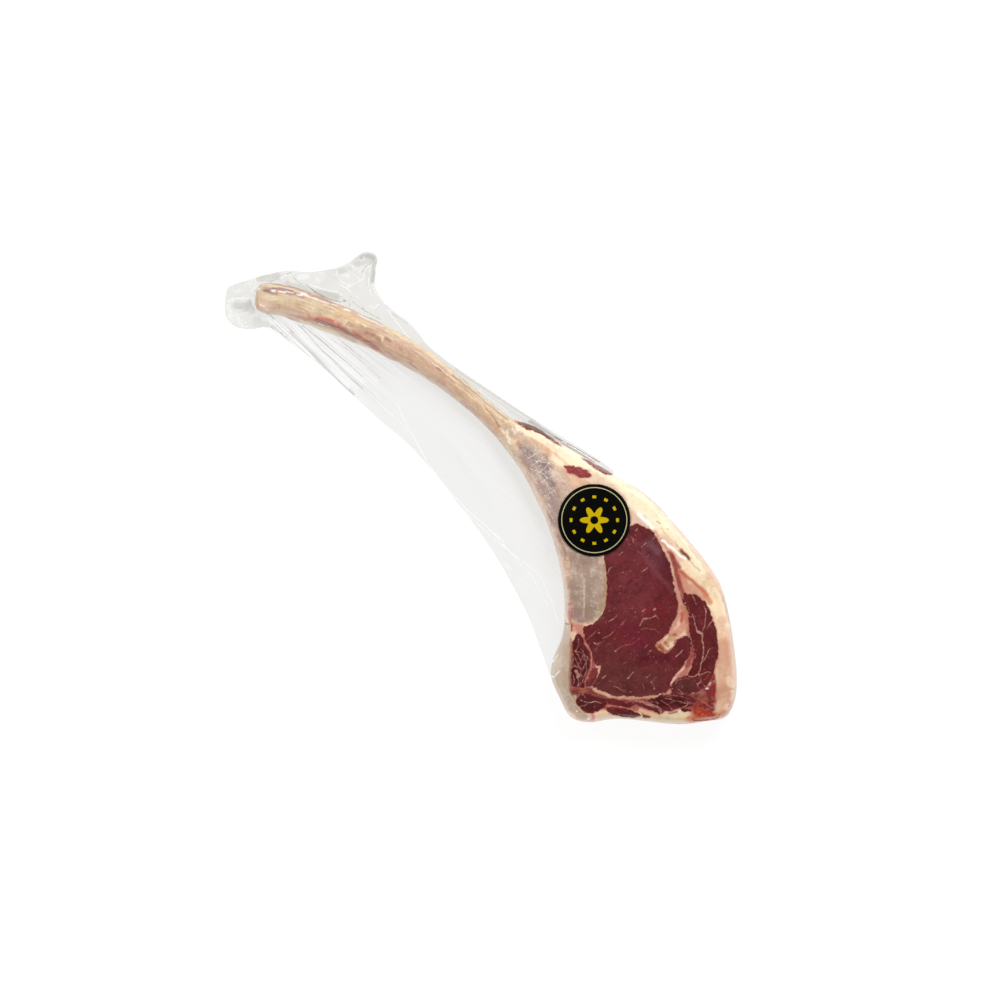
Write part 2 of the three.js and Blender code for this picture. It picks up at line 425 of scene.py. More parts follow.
def solidTree(pieces):
    corners, faces = [], []
    for piece in pieces:
        start = len(corners)
        corners += [v.co.copy() for v in piece.data.vertices]
        faces += [[start + i for i in p.vertices] for p in piece.data.polygons]
    return BVHTree.FromPolygons(corners, faces)


def extreme(grid, pick):
    # the largest or smallest of each cell and its neighbours
    padded = np.pad(grid, 1, mode="edge")
    rows, columns = grid.shape
    parts = [padded[i:i + rows, j:j + columns] for i in range(3) for j in range(3)]
    return pick(np.stack(parts), axis=0)


class TopHeights:
    def __init__(self):
        low, high = cadBox
        step = heightGrid["step"]
        self.x0 = low[0] - heightGrid["margin"]
        self.y0 = low[1] - heightGrid["margin"]
        columns = int((high[0] - self.x0 + heightGrid["margin"]) / step) + 1
        rows = int((high[1] - self.y0 + heightGrid["margin"]) / step) + 1
        tree = solidTree([frame["nodes"][node] for node in packedNodes])
        down = Vector((0, 0, -1))
        grid = np.full((rows, columns), -1.0)
        for i in range(rows):
            for j in range(columns):
                start = Vector((self.x0 + j * step, self.y0 + i * step, 0.2))
                hit = tree.ray_cast(start, down)[0]
                if hit is not None:
                    grid[i, j] = hit.z
        for _ in range(heightGrid["closing"]):
            grid = extreme(grid, np.max)
        for _ in range(heightGrid["closing"]):
            grid = extreme(grid, np.min)
        for _ in range(heightGrid["spread"]):
            grid = np.where(grid < 0, extreme(grid, np.max), grid)
        self.grid = np.where(grid < 0, 0, grid)
        slopeY, slopeX = np.gradient(self.grid, step)
        self.slope = np.hypot(slopeX, slopeY)

    def sample(self, grid, points):
        u = (points[:, 0] - self.x0) / heightGrid["step"]
        v = (points[:, 1] - self.y0) / heightGrid["step"]
        j = np.clip(u.astype(int), 0, grid.shape[1] - 2)
        i = np.clip(v.astype(int), 0, grid.shape[0] - 2)
        u = np.clip(u - j, 0, 1)
        v = np.clip(v - i, 0, 1)
        return ((grid[i, j] * (1 - u) + grid[i, j + 1] * u) * (1 - v)
                + (grid[i + 1, j] * (1 - u) + grid[i + 1, j + 1] * u) * v)


top = TopHeights()
print("the top's heights are known")


# the paint that all pieces of the cut share

ivory = (252, 235, 202)
cream = (247, 226, 188)
shell = (216, 172, 146)
blush = (196, 124, 108)
rust = (150, 74, 52)
brown = (120, 70, 48)
bark = (92, 44, 28)
chalk = (222, 210, 198)
white = (255, 255, 252)
straw = (206, 184, 104)

paleBase = (228, 190, 160)

# fat, bone and membrane: colour, strength, reach, lines
palePaint = [
    # rib: body, upper and lower bands
    ((204, 174, 146), 1.0, 20, [(250, 298), (300, 308), (352, 325), (400, 352), (450, 384),
      (490, 420), (510, 440)]),
    ((214, 180, 140), 0.9, 9, [(326, 310), (345, 316), (362, 325)]),
    ((200, 164, 138), 0.8, 8, [(384, 344), (410, 356), (440, 376), (456, 390)]),
    ((190, 152, 124), 0.6, 5, [(330, 322), (352, 332), (376, 344), (400, 358)]),
    ((202, 168, 136), 0.8, 8, [(456, 386), (470, 398), (484, 412)]),
    ((206, 160, 130), 0.8, 7, [(484, 420), (494, 430), (500, 440)]),
    ((212, 192, 156), 0.9, 6, [(257, 294), (275, 298), (295, 302), (312, 306), (330, 311)]),
    ((204, 172, 142), 0.7, 4, [(284, 305), (302, 306)]),
    ((226, 208, 184), 0.6, 4.5, [(265, 295), (272, 298)]),
    ((184, 148, 120), 0.7, 5, [(348, 325), (360, 329), (372, 334)]),
    ((218, 180, 156), 0.6, 5, [(260, 303), (270, 310), (290, 315)]),
    ((216, 196, 168), 0.7, 2.4, [(262, 285.5), (280, 287), (298, 290)]),
    ((176, 140, 96), 0.8, 1.7, [(256, 290), (257, 300), (258, 308)]),
    # a darker olive line along the tip's upper edge: its brownish rim, with painted shade where the
    # rib turns down
    ((158, 118, 74), 0.85, 1.8, [(254, 288), (258, 284), (264, 282), (272, 283), (282, 285),
      (292, 286.5), (302, 289.5), (310, 293)]),
    ((150, 112, 114), 0.75, 2.6, [(266, 289.5), (278, 290.5), (290, 291.5), (300, 295)]),
    ((104, 66, 76), 0.75, 1.5, [(272, 288), (282, 288.5), (292, 290.5)]),
    ((120, 80, 88), 0.7, 1.4, [(264, 290.5), (270, 292.5), (277, 294)]),
    ((120, 90, 94), 0.6, 1.3, [(286, 293.5), (295, 294.5), (304, 297.5)]),
    # painted highlights on the tip's purple patch and along the ridge
    (white, 0.95, 1.7, [(272, 290.3), (275, 291)]),
    (white, 0.8, 1.2, [(278, 291.5), (286, 292.5)]),
    (white, 0.6, 1.0, [(286, 290.8), (293, 292.8)]),
    (white, 0.8, 1.2, [(297, 294.6), (302, 295.2)]),
    (white, 0.6, 1.2, [(257, 286.5), (259, 289)]),
    ((178, 118, 92), 0.8, 2.4, [(308, 294), (318, 297), (330, 301.5)]),
    ((192, 150, 112), 0.7, 1.6, [(328, 300.5), (345, 306.5), (360, 313), (372, 318)]),
    # more painted highlights along the ridge, fading into ivory
    (white, 0.85, 1.1, [(301, 292.5), (308, 296), (316, 299), (323, 301.3), (328, 303)]),
    (white, 0.6, 0.9, [(332, 304), (337, 305.6)]),
    (white, 0.8, 1.1, [(344, 309), (350, 311)]),
    (white, 0.75, 1.0, [(358, 314), (366, 318.5)]),
    (ivory, 0.75, 1.0, [(367, 319), (374, 322), (383, 327)]),
    ((216, 166, 146), 0.7, 1.8, [(259, 304), (263, 309)]),
    ((186, 96, 88), 0.7, 1.3, [(261, 309)]),
    # a painted highlight near the tip
    (white, 0.5, 1.0, [(259, 302), (262, 306), (268, 310)]),
    ((186, 90, 86), 0.85, 2.0, [(286, 317.5), (291, 319.5)]),
    ((196, 128, 112), 0.8, 2.8, [(298, 317), (308, 319), (316, 320)]),
    ((150, 84, 70), 0.8, 1.5, [(306.5, 312)]),
    ((190, 118, 100), 0.6, 2.4, [(308, 314), (311, 319)]),
    (bark, 0.6, 0.9, [(279.5, 307)]),
    ((192, 100, 90), 0.85, 2.8, [(318, 318), (330, 320.5), (340, 325)]),
    ((150, 68, 62), 0.9, 2.4, [(316, 320), (322, 321.5), (330, 325), (338, 327.5), (346, 331),
      (354, 335)]),
    ((94, 58, 62), 0.85, 1.5, [(318, 322), (324, 323.5), (331, 326)]),
    # a painted highlight on the lower edge
    (white, 0.6, 0.8, [(319, 323.3), (324, 325)]),
    ((118, 92, 84), 0.75, 1.4, [(330, 326.5), (340, 330), (350, 335), (358, 339)]),
    ((162, 70, 60), 0.9, 3.4, [(354, 334), (362, 339), (370, 344), (377, 348.5)]),
    ((176, 104, 84), 0.7, 2.4, [(376, 348), (386, 353), (396, 359)]),
    ((230, 214, 180), 0.85, 2.4, [(300, 321), (315, 326), (330, 332), (345, 339), (360, 345),
      (372, 351), (384, 357)]),
    ((176, 132, 106), 0.5, 1.6, [(348, 322), (352, 326)]),
    ((158, 104, 84), 0.7, 2.6, [(366, 333), (374, 336), (381, 341)]),
    ((162, 112, 90), 0.8, 2.4, [(386, 338.5), (390, 341)]),
    ((240, 212, 178), 0.95, 1.6, [(379.5, 335.5), (383, 337), (382, 341)]),
    # the upper edge's darker olive line: brownish rim with painted shade where the rib turns down
    ((138, 104, 72), 0.8, 1.5, [(370, 317), (385, 324), (400, 331.5), (415, 340), (430, 350),
      (445, 361)]),
    ((226, 200, 152), 0.85, 3.6, [(388, 330), (400, 337), (415, 344.5), (430, 353), (445, 364),
      (455, 373.5), (465, 381.5), (478, 393.5), (490, 405.5), (502, 416), (512, 424)]),
    ((178, 138, 104), 0.7, 1.1, [(395, 335.5), (405, 341.5), (414, 346.5), (424, 353.5),
      (434, 361.5), (440, 366.5), (450, 376.5)]),
    ((140, 90, 70), 0.8, 1.2, [(436.5, 368), (441, 371)]),
    ((160, 112, 88), 0.6, 1.1, [(400, 349), (404, 353)]),
    ((160, 112, 88), 0.7, 1.4, [(410, 362), (414, 367), (418, 370.5)]),
    ((160, 112, 88), 0.6, 1.2, [(421, 372), (430, 380)]),
    ((188, 140, 120), 0.8, 3.2, [(438, 382), (444, 384.5)]),
    ((184, 132, 108), 0.7, 2.6, [(462, 402), (470, 409), (479, 416)]),
    # a painted highlight along the rib's back
    ((248, 220, 176), 0.85, 1.2, [(455, 384), (463, 390), (470, 396), (478, 401.5), (484, 408),
      (492, 416.5), (498, 425)]),
    # the upper edge's darker brown lines: brownish rim with painted shade where the rib turns down
    ((150, 100, 74), 0.8, 1.1, [(484, 405.5), (490, 413), (496, 421), (500, 427.5)]),
    ((144, 94, 70), 0.8, 1.5, [(496, 422), (499.5, 427)]),
    ((140, 106, 76), 0.75, 1.4, [(452, 375), (464, 384), (480, 397), (496, 411), (508, 420)]),
    # left edge of neck and head, under the web
    ((214, 182, 142), 0.9, 9, [(503, 434), (512, 446), (520, 458)]),
    # painted highlights on the film's crinkles
    (white, 0.7, 1.1, [(503, 430), (505, 433)], [(507, 430), (508, 437), (510, 440)],
     [(512, 428), (515, 434)], [(508, 441.5), (510, 444)]),
    # membrane over the neck
    ((190, 162, 142), 0.9, 16, [(528, 452), (544, 474), (556, 496), (562, 520), (566, 545)]),
    ((168, 142, 132), 0.85, 11, [(528, 455), (540, 468), (548, 484), (553, 502), (558, 520)]),
    ((206, 178, 158), 0.8, 8, [(560, 474), (568, 492), (574, 512)]),
    ((126, 106, 104), 0.75, 5, [(526, 450), (532, 457), (540, 464), (549, 468)]),
    ((140, 116, 116), 0.6, 3.2, [(545, 456), (547, 460)]),
    ((128, 108, 104), 0.75, 4.5, [(544, 474), (549, 479), (552, 484)]),
    ((152, 124, 122), 0.5, 4.5, [(538, 484), (543, 492)]),
    ((146, 124, 122), 0.6, 4.5, [(549, 496), (554, 506)]),
    ((150, 84, 76), 0.8, 3.4, [(518.5, 443), (520.5, 447)]),
    ((206, 160, 132), 0.6, 1.8, [(530, 437), (540, 445), (552, 456), (563, 468), (570, 481)]),
    ((150, 84, 70), 0.7, 1.3, [(546, 511), (549, 516), (552, 522)]),
    ((150, 84, 76), 0.7, 1.5, [(558, 536), (562, 545), (565, 553), (564, 560)]),
    # block of bone
    ((164, 138, 122), 1.0, 24, [(584, 560), (586, 602)]),
    ((178, 156, 140), 0.7, 7, [(576, 566), (580, 582)]),
    ((180, 158, 140), 0.6, 6, [(594, 568), (596, 588)]),
    ((150, 118, 114), 0.75, 7, [(572, 612), (580, 618)]),
    ((160, 134, 100), 0.8, 4, [(604, 566), (605.5, 585), (604, 600), (598, 614)]),
    ((154, 128, 110), 1.0, 9, [(580, 612), (591, 610)]),
    ((150, 118, 114), 0.6, 5, [(574, 614), (580, 618), (590, 618)]),
    ((176, 84, 72), 0.85, 2.2, [(569.5, 603), (569, 612), (570, 622)]),
    ((92, 40, 44), 0.7, 1.1, [(571.5, 610), (571, 618)]),
    ((150, 132, 106), 0.5, 3.5, [(589, 610), (592, 616)]),
    (chalk, 0.35, 1.3, [(583.5, 580), (584, 600), (583, 618)]),
    ((196, 120, 108), 0.5, 3, [(570, 606), (571, 616)]),
    ((206, 178, 146), 0.6, 3, [(568, 560), (567, 580), (568, 600)]),
    # lower left: peach plug and side wall
    ((186, 166, 145), 1.0, 15, [(558, 650), (560, 680), (566, 700)]),
    ((170, 140, 118), 0.8, 6, [(568, 700), (574, 709), (583, 716)]),
    ((196, 180, 158), 0.6, 6, [(556, 690), (564, 706)]),
    # painted highlights on the film's crinkles over the side wall
    (white, 0.9, 1.5, [(553, 661.5)], [(553, 677)]),
    (white, 0.6, 1.0, [(558, 655), (554, 662)], [(560, 670), (555, 676)]),
    ((192, 126, 106), 0.95, 6.0, [(574, 626), (580, 628), (581, 635)]),
    ((214, 160, 134), 0.6, 2.6, [(573, 631), (573, 634)]),
    ((90, 22, 20), 0.9, 1.4, [(571.3, 624), (571, 630)]),
    ((178, 156, 136), 1.0, 5, [(566, 634), (565.5, 660), (566, 690)]),
    ((188, 164, 144), 0.95, 6, [(565, 626), (566, 640)]),
    ((150, 104, 84), 0.9, 2.2, [(570.3, 638), (570.5, 660), (569.5, 684), (572, 694)]),
    ((96, 34, 34), 0.9, 2.0, [(572.6, 642), (572.2, 660), (571.6, 686)]),
    # fat round the back
    (ivory, 1.0, 13, [(560, 455), (590, 470), (618, 486), (640, 504), (662, 524)]),
    ((250, 234, 204), 0.95, 7, [(520, 427), (540, 436), (560, 450), (580, 463), (600, 478)]),
    ((222, 172, 140), 0.6, 1.8, [(532, 439), (548, 449), (562, 460), (576, 473)]),
    (ivory, 0.9, 8, [(668, 530), (684, 548), (702, 574)]),
    (cream, 0.7, 8, [(708, 584), (718, 606), (723, 630)]),
    ((246, 222, 186), 0.8, 7, [(684, 566), (698, 584), (712, 606)]),
    (shell, 0.5, 6, [(588, 474), (610, 488), (622, 500)]),
    ((222, 186, 168), 0.8, 6, [(628, 518), (642, 520)]),
    ((196, 120, 96), 0.8, 3.2, [(660, 540), (667, 549), (672, 556)]),
    ((198, 132, 110), 0.9, 7, [(678, 574), (684, 588)]),
    ((204, 146, 122), 0.8, 6, [(690, 588), (700, 597)]),
    # painted highlights across the fat
    (white, 0.95, 2.6, [(638, 514), (645, 520.5), (652, 528)]),
    (white, 0.9, 2.0, [(661, 540), (668, 545), (674, 550), (680, 556), (685, 559.5)]),
    ((150, 52, 46), 0.9, 3.0, [(668, 552), (672, 557), (676, 563), (678, 567)]),
    ((186, 88, 66), 0.9, 2.8, [(680, 571), (687, 577), (694, 583), (701, 589), (706, 595)]),
    ((208, 124, 92), 0.8, 4.2, [(705, 595), (709, 602)]),
    ((112, 36, 14), 1.0, 2.6, [(680, 550), (684, 554), (688, 558.5)]),
    ((112, 40, 20), 0.9, 1.3, [(676.5, 545.5)]),
    (brown, 0.7, 0.9, [(656, 521), (659, 524)]),
    (brown, 0.5, 1.2, [(667, 529)]),
    ((206, 150, 116), 0.6, 1.3, [(660, 528), (666, 535), (673, 542), (680, 549)]),
    ((170, 124, 92), 0.6, 1.0, [(688, 559), (693, 565), (699, 571)]),
    ((206, 172, 140), 0.55, 1.8, [(688, 546), (700, 562), (714, 584), (725, 600), (730, 620),
      (733, 650), (736, 680)]),
    # right column
    ((228, 188, 156), 0.8, 9, [(722, 622), (726, 650)]),
    ((206, 156, 126), 0.8, 10, [(722, 646), (724, 668), (724, 692)]),
    ((186, 140, 104), 0.7, 2.0, [(722, 596), (728, 614), (732, 634), (735, 655), (737, 678),
      (735, 697), (731, 711), (724, 718)]),
    ((240, 214, 186), 0.8, 4, [(727, 625)]),
    ((216, 166, 140), 0.7, 5, [(720, 650), (724, 664)]),
    ((234, 206, 178), 0.7, 4.5, [(728, 678), (730, 684)]),
    ((196, 146, 118), 0.85, 8, [(722, 690), (724, 706), (720, 714)]),
    ((204, 140, 110), 0.75, 6, [(716, 716), (726, 712), (732, 704)]),
    ((196, 120, 74), 0.6, 2.6, [(711, 722), (722, 719)]),
    ((232, 204, 176), 0.7, 4.5, [(726, 706)]),
    ((188, 146, 124), 0.6, 1.2, [(715, 686), (722, 689), (735, 688)]),
    # painted highlights
    (white, 0.8, 1.1, [(730.5, 690.5)], [(721, 717.5)]),
    (rust, 0.8, 1.2, [(728, 705.5)]),
    (rust, 0.5, 0.9, [(730, 657)]),
    (rust, 0.4, 0.9, [(718, 677)]),
    ((196, 134, 92), 0.6, 1.8, [(712, 721), (724, 718), (732, 710), (735, 700)]),
    (blush, 0.5, 2.0, [(717, 642), (716, 662), (713, 676)]),
    # connective tissue between the muscles
    ((142, 54, 54), 0.95, 5, [(574, 690), (582, 684), (592, 668), (590, 652), (584, 640)]),
    ((156, 70, 66), 0.8, 4, [(684, 600), (688, 618), (689, 640), (692, 656), (684, 672), (672, 686),
      (664, 694)]),
    ((176, 104, 92), 0.7, 4, [(676, 582), (678, 600), (676, 616), (668, 632)]),
    ((140, 46, 46), 0.95, 3.4, [(671, 556), (674, 566), (677, 578), (681, 592), (684, 602)]),
    ((184, 110, 92), 0.9, 3.2, [(681, 606), (684, 613), (686, 622), (687, 632)]),
    ((172, 72, 62), 0.9, 3, [(681, 613), (681, 621)]),
    ((204, 142, 120), 0.95, 5, [(682, 626), (678, 631), (673, 633)]),
    ((150, 62, 58), 0.8, 2.4, [(669, 636), (674, 634)]),
    ((192, 148, 112), 1.0, 3.6, [(664, 643), (671, 637)]),
    ((156, 70, 44), 1.0, 4.0, [(658, 645), (661, 648), (665, 651)]),
    ((190, 130, 98), 0.8, 1.6, [(655.5, 645), (659, 642), (662, 639)]),
    ((186, 128, 90), 0.8, 1.0, [(656, 645.5), (660, 650), (663, 653.5)]),
    ((92, 26, 24), 0.85, 1.3, [(663, 653)], [(667, 650), (670, 647)], [(673, 643), (675, 639)],
     [(679, 636.5)]),
    ((150, 76, 52), 0.85, 2.4, [(664, 642), (667, 645)]),
    ((120, 44, 34), 0.8, 1.3, [(657.5, 647)]),
    ((120, 44, 34), 0.8, 1.2, [(660.5, 643.5)]),
    ((110, 36, 30), 0.85, 1.5, [(662.5, 650.5)]),
    ((196, 124, 104), 0.7, 2.0, [(672, 640), (676, 636)]),
    ((150, 70, 68), 0.9, 3, [(690, 640), (692, 648), (692, 656)]),
    ((146, 54, 60), 0.95, 3.4, [(690, 656), (686, 665)]),
    ((182, 106, 96), 0.9, 2.8, [(683, 671), (677, 676)]),
    ((150, 66, 66), 0.8, 2.2, [(675, 680), (672, 686)]),
    ((190, 112, 94), 0.8, 2.4, [(583.5, 644), (586, 643), (587.5, 646)]),
    ((150, 66, 60), 0.95, 4, [(572, 690), (582, 689), (590, 688), (598, 696)]),
    # foot
    ((140, 58, 54), 0.95, 9, [(584, 700), (612, 703), (640, 704), (672, 703)]),
    ((112, 34, 34), 0.95, 5, [(579, 694), (592, 692.5), (604, 697.5)]),
    ((116, 38, 36), 0.9, 2.4, [(604, 698.5), (616, 700), (630, 699.6), (646, 698.8)]),
    ((206, 160, 134), 0.85, 1.8, [(590, 687.5), (600, 692), (612, 697)]),
    ((112, 34, 34), 0.95, 3.4, [(573, 691), (582, 690), (590, 689)]),
    ((112, 34, 34), 0.9, 3.0, [(600, 697), (612, 700.5), (626, 701), (640, 700), (652, 699)]),
    ((196, 140, 118), 0.85, 1.5, [(612, 697), (626, 697.6), (640, 697.6), (656, 696.4)]),
    ((176, 104, 88), 0.85, 1.5, [(606, 704.5), (620, 706.8), (632, 708)]),
    ((218, 172, 138), 0.95, 3.4, [(640, 709), (648, 713), (660, 716)]),
    ((150, 60, 56), 0.8, 1.3, [(616, 699), (622, 699.5)], [(628, 701.5), (632, 702.5)]),
    ((150, 60, 56), 0.7, 1.2, [(636, 698.6), (644, 698.2)]),
    ((160, 66, 60), 0.7, 2.0, [(616, 697)]),
    ((214, 192, 158), 0.95, 6, [(606, 719), (640, 720), (672, 718), (686, 714)]),
    ((202, 190, 152), 0.5, 3, [(636, 719), (655, 720)]),
    ((134, 104, 104), 0.8, 2.4, [(592, 712), (598, 707), (604, 702)]),
    (straw, 0.8, 2.6, [(604, 711)]),
    ((214, 160, 70), 0.7, 3.4, [(688, 718), (690, 721)]),
    ((100, 20, 14), 0.9, 1.5, [(668, 712.5), (673, 711.5), (676, 711)]),
    ((104, 28, 26), 0.9, 2.4, [(625, 702), (628, 704)]),
    ((190, 106, 92), 0.8, 2.4, [(592, 712), (593, 717), (591, 722)]),
    # painted highlights on the film at the foot
    (white, 0.9, 1.4, [(588.5, 718.5)]),
    (white, 0.8, 1.2, [(576.5, 710.5)]),
    ((190, 150, 110), 0.5, 1.6, [(580, 721), (610, 722), (650, 724), (690, 723)]),
    # juice and its stain
    ((112, 10, 24), 1.0, 9, [(700, 690), (709, 692), (709, 700)]),
    ((122, 10, 16), 1.0, 8, [(694, 700), (702, 705), (709, 706)]),
    ((160, 42, 22), 1.0, 7, [(696, 711), (703, 713), (710, 714)]),
    ((188, 84, 38), 0.95, 5, [(690, 718), (700, 719), (710, 719)]),
    ((206, 150, 70), 0.8, 3.5, [(686, 719)]),
    ((196, 104, 62), 0.9, 3.6, [(692, 722), (702, 722), (713, 720.5)]),
    ((112, 16, 20), 0.9, 5, [(702, 699), (709, 708)]),
    ((96, 20, 28), 0.95, 7, [(686, 699), (694, 697)]),
    ((136, 34, 34), 1.0, 6, [(685, 702), (692, 706)]),
    ((190, 100, 74), 0.8, 3.0, [(690, 711), (692, 715)]),
    ((160, 84, 92), 0.5, 2.6, [(698, 691), (704, 693)]),
    ((196, 100, 100), 0.6, 1.0, [(701, 701), (706, 703.5), (711, 707)]),
    # painted glints on the wet juice
    (white, 0.9, 1.2, [(699, 686), (700.5, 688.5)]),
    (white, 0.9, 1.3, [(705.5, 687.5), (707, 688)]),
    ((128, 22, 34), 1.0, 4.6, [(711.5, 676), (712.5, 684), (712, 692)]),
    (blush, 0.6, 2.0, [(716, 690), (716, 704), (714, 718)]),
]

leanBase = (100, 32, 36)

# lean: colour, strength, reach, lines
leanPaint = [
    # eye
    ((112, 44, 50), 0.7, 26, [(625, 555), (640, 580)]),
    ((112, 44, 48), 0.7, 22, [(618, 600), (640, 606)]),
    ((100, 40, 42), 0.8, 34, [(610, 668), (650, 676)]),
    ((94, 44, 40), 0.6, 22, [(612, 676), (640, 684)]),
    ((112, 30, 48), 0.6, 15, [(622, 632), (636, 640)]),
    ((88, 22, 30), 0.85, 7, [(640, 661), (652, 658), (664, 657)]),
    ((76, 12, 24), 0.7, 2.6, [(640, 660), (650, 657.5), (658, 656)]),
    ((104, 34, 34), 0.7, 9, [(616, 634), (624, 640)]),
    ((112, 28, 32), 0.7, 8, [(650, 611), (658, 608), (662, 613)]),
    # greyish purple over the eye's top right: the loose film's frosty tone, with a painted sheen of
    # its soft reflection
    ((104, 58, 68), 0.45, 12, [(650, 545), (658, 560)]),
    ((122, 84, 94), 0.45, 4, [(650, 543), (657, 552)]),
    ((88, 30, 42), 0.8, 3.6, [(662, 552), (668, 566), (670, 580)]),
    ((126, 74, 80), 0.32, 3.0, [(641, 553), (652, 567), (662, 580), (672, 592)]),
    ((84, 22, 32), 0.8, 1.8, [(626.5, 583.5), (631, 580), (637, 576.5)]),
    ((84, 26, 34), 0.7, 1.5, [(624, 570), (629, 565)]),
    ((84, 36, 42), 0.5, 1.8, [(608, 610), (618, 602), (630, 597), (640, 590)]),
    ((86, 32, 38), 0.6, 1.3, [(616, 638), (614.5, 650)]),
    ((80, 22, 28), 0.5, 1.4, [(606.5, 566), (607.5, 585), (606, 604), (600, 616), (592, 625)]),
    # cap
    ((96, 28, 30), 0.9, 20, [(694, 606), (706, 640), (704, 666)]),
    ((84, 28, 30), 0.7, 8, [(706, 650), (708, 664)]),
    ((84, 20, 26), 0.7, 2.0, [(683, 597), (685, 606), (690, 614)]),
    ((76, 18, 24), 0.6, 1.8, [(690, 640), (691, 650), (692, 664), (690, 672)]),
    ((84, 44, 40), 0.7, 8, [(678, 684), (690, 684)]),
    # side
    ((78, 18, 22), 0.95, 14, [(578, 644), (580, 676)]),
    ((96, 36, 40), 0.6, 4, [(578, 638), (579, 644)]),
    ((124, 54, 50), 0.85, 5.5, [(593, 670), (588, 678)]),
    ((88, 18, 28), 0.9, 2.4, [(587, 683)]),
    ((96, 20, 26), 0.9, 1.6, [(591, 679), (596, 677)]),
    # foot
    ((84, 26, 28), 0.95, 10, [(584, 702), (602, 704)]),
    ((92, 22, 24), 0.95, 9, [(608, 706), (640, 712)]),
    ((70, 10, 15), 0.95, 7, [(656, 701), (680, 700), (684, 705)]),
    ((98, 30, 30), 0.9, 4, [(612, 702), (622, 704)]),
    # small ones on the back
    ((146, 56, 58), 1.0, 12, [(566, 468), (588, 476)]),
    ((126, 66, 50), 1.0, 9, [(517, 422), (560, 444)]),
    ((74, 28, 20), 0.85, 2.0, [(526, 425), (535, 427.5), (543, 432.5), (552, 440)]),
    ((134, 74, 70), 1.0, 9, [(582, 458), (612, 474)]),
]

leanOutlines = [
    # eye
    [(622, 530), (634, 524), (640, 525), (648, 529), (653, 532), (657, 540), (661, 548),
     (666, 556), (669, 564), (671, 573), (673, 582), (674, 590), (676, 598), (677, 605),
     (676, 613), (673, 620), (670, 627), (667, 633), (661, 638), (655, 643), (656, 648),
     (661, 652), (664, 654), (668, 651), (673, 645), (676, 640), (681, 636), (687, 635),
     (689, 641), (690, 648), (688, 656), (684, 662), (679, 669), (674, 675), (670, 681),
     (669, 688), (664, 692), (655, 694), (640, 696), (620, 695.5), (610, 694), (601, 690),
     (594, 687), (591, 684), (594, 680), (597, 676), (599, 670), (600, 665), (596, 664),
     (592, 660), (591.5, 654), (589, 647), (586, 642), (584, 637), (583, 631), (583, 626),
     (592, 623.5), (597, 619), (602, 613), (605, 606), (606.5, 595), (606.5, 580), (605, 568),
     (603, 556), (604, 545), (610, 535)],
    # cap
    [(683, 592), (688, 594), (693, 593.5), (699, 597), (704, 602), (708, 609), (711, 617),
     (714, 625), (716, 635), (717, 645), (717, 653), (715, 662), (713, 670), (711, 677),
     (708, 682), (703, 687), (698, 690), (690, 693), (683, 697), (676, 697), (671, 692),
     (670, 686), (673, 681), (679, 677), (686, 674), (690, 668), (692, 661), (693, 654),
     (691, 646), (689, 638), (688, 630), (688, 620), (688, 612), (685, 606), (682, 602),
     (682, 598)],
    # side, and the lobe beside it
    [(577, 633), (580, 633), (583, 638), (584, 645), (588, 650), (590, 656), (590, 663),
     (588, 669), (585, 680), (584, 686), (578, 687), (572, 685), (571, 676), (572, 666),
     (573, 656), (572, 648), (573, 640)],
    [(592, 667), (597, 667), (597, 675), (594, 680), (590, 685), (585, 686), (586, 680),
     (589, 674)],
    # foot
    [(576, 697), (580, 693), (586, 692), (594, 695), (601, 697), (606, 699), (607, 703),
     (602, 707), (597, 711), (590, 712), (584, 711), (580, 707), (576, 702)],
    [(607, 698), (613, 697), (620, 700), (625, 702), (630, 700), (634, 704), (630, 706.5),
     (622, 706), (614, 705), (608, 703)],
    [(606, 707), (612, 706), (622, 708), (630, 709), (637, 712), (640, 715), (634, 717),
     (626, 716), (616, 714.5), (609, 712)],
    [(646, 699.5), (652, 697), (660, 694.5), (670, 692.5), (680, 694), (690, 695.5),
     (696, 699), (692, 704), (686, 706.5), (678, 708), (670, 710), (662, 710.5), (655, 707),
     (648, 703)],
    [(634, 700), (640, 701.3), (648, 704.5), (656, 708.2), (662, 711.4), (659, 713),
     (650, 709.6), (641, 706.2), (634, 703.4)],
    [(640.5, 711.6), (644, 714), (649.5, 715.6), (648, 717.6), (642.5, 716.4)],
    [(679, 707.2), (686, 707.6), (691, 709), (689, 711), (682, 710.4)],
    # small ones on the back
    [(564, 466), (570, 466), (578, 467), (585, 470), (591, 475), (587, 478), (580, 477.5),
     (573, 475), (567, 472)],
    [(517, 422), (525, 422), (534, 425), (542, 430), (551, 437), (561, 446), (553, 442),
     (543, 435), (533, 430.5), (524, 428)],
    [(582, 458), (590, 461), (598, 465), (606, 468.5), (613, 474), (606, 475), (598, 470.5),
     (590, 465)],
]
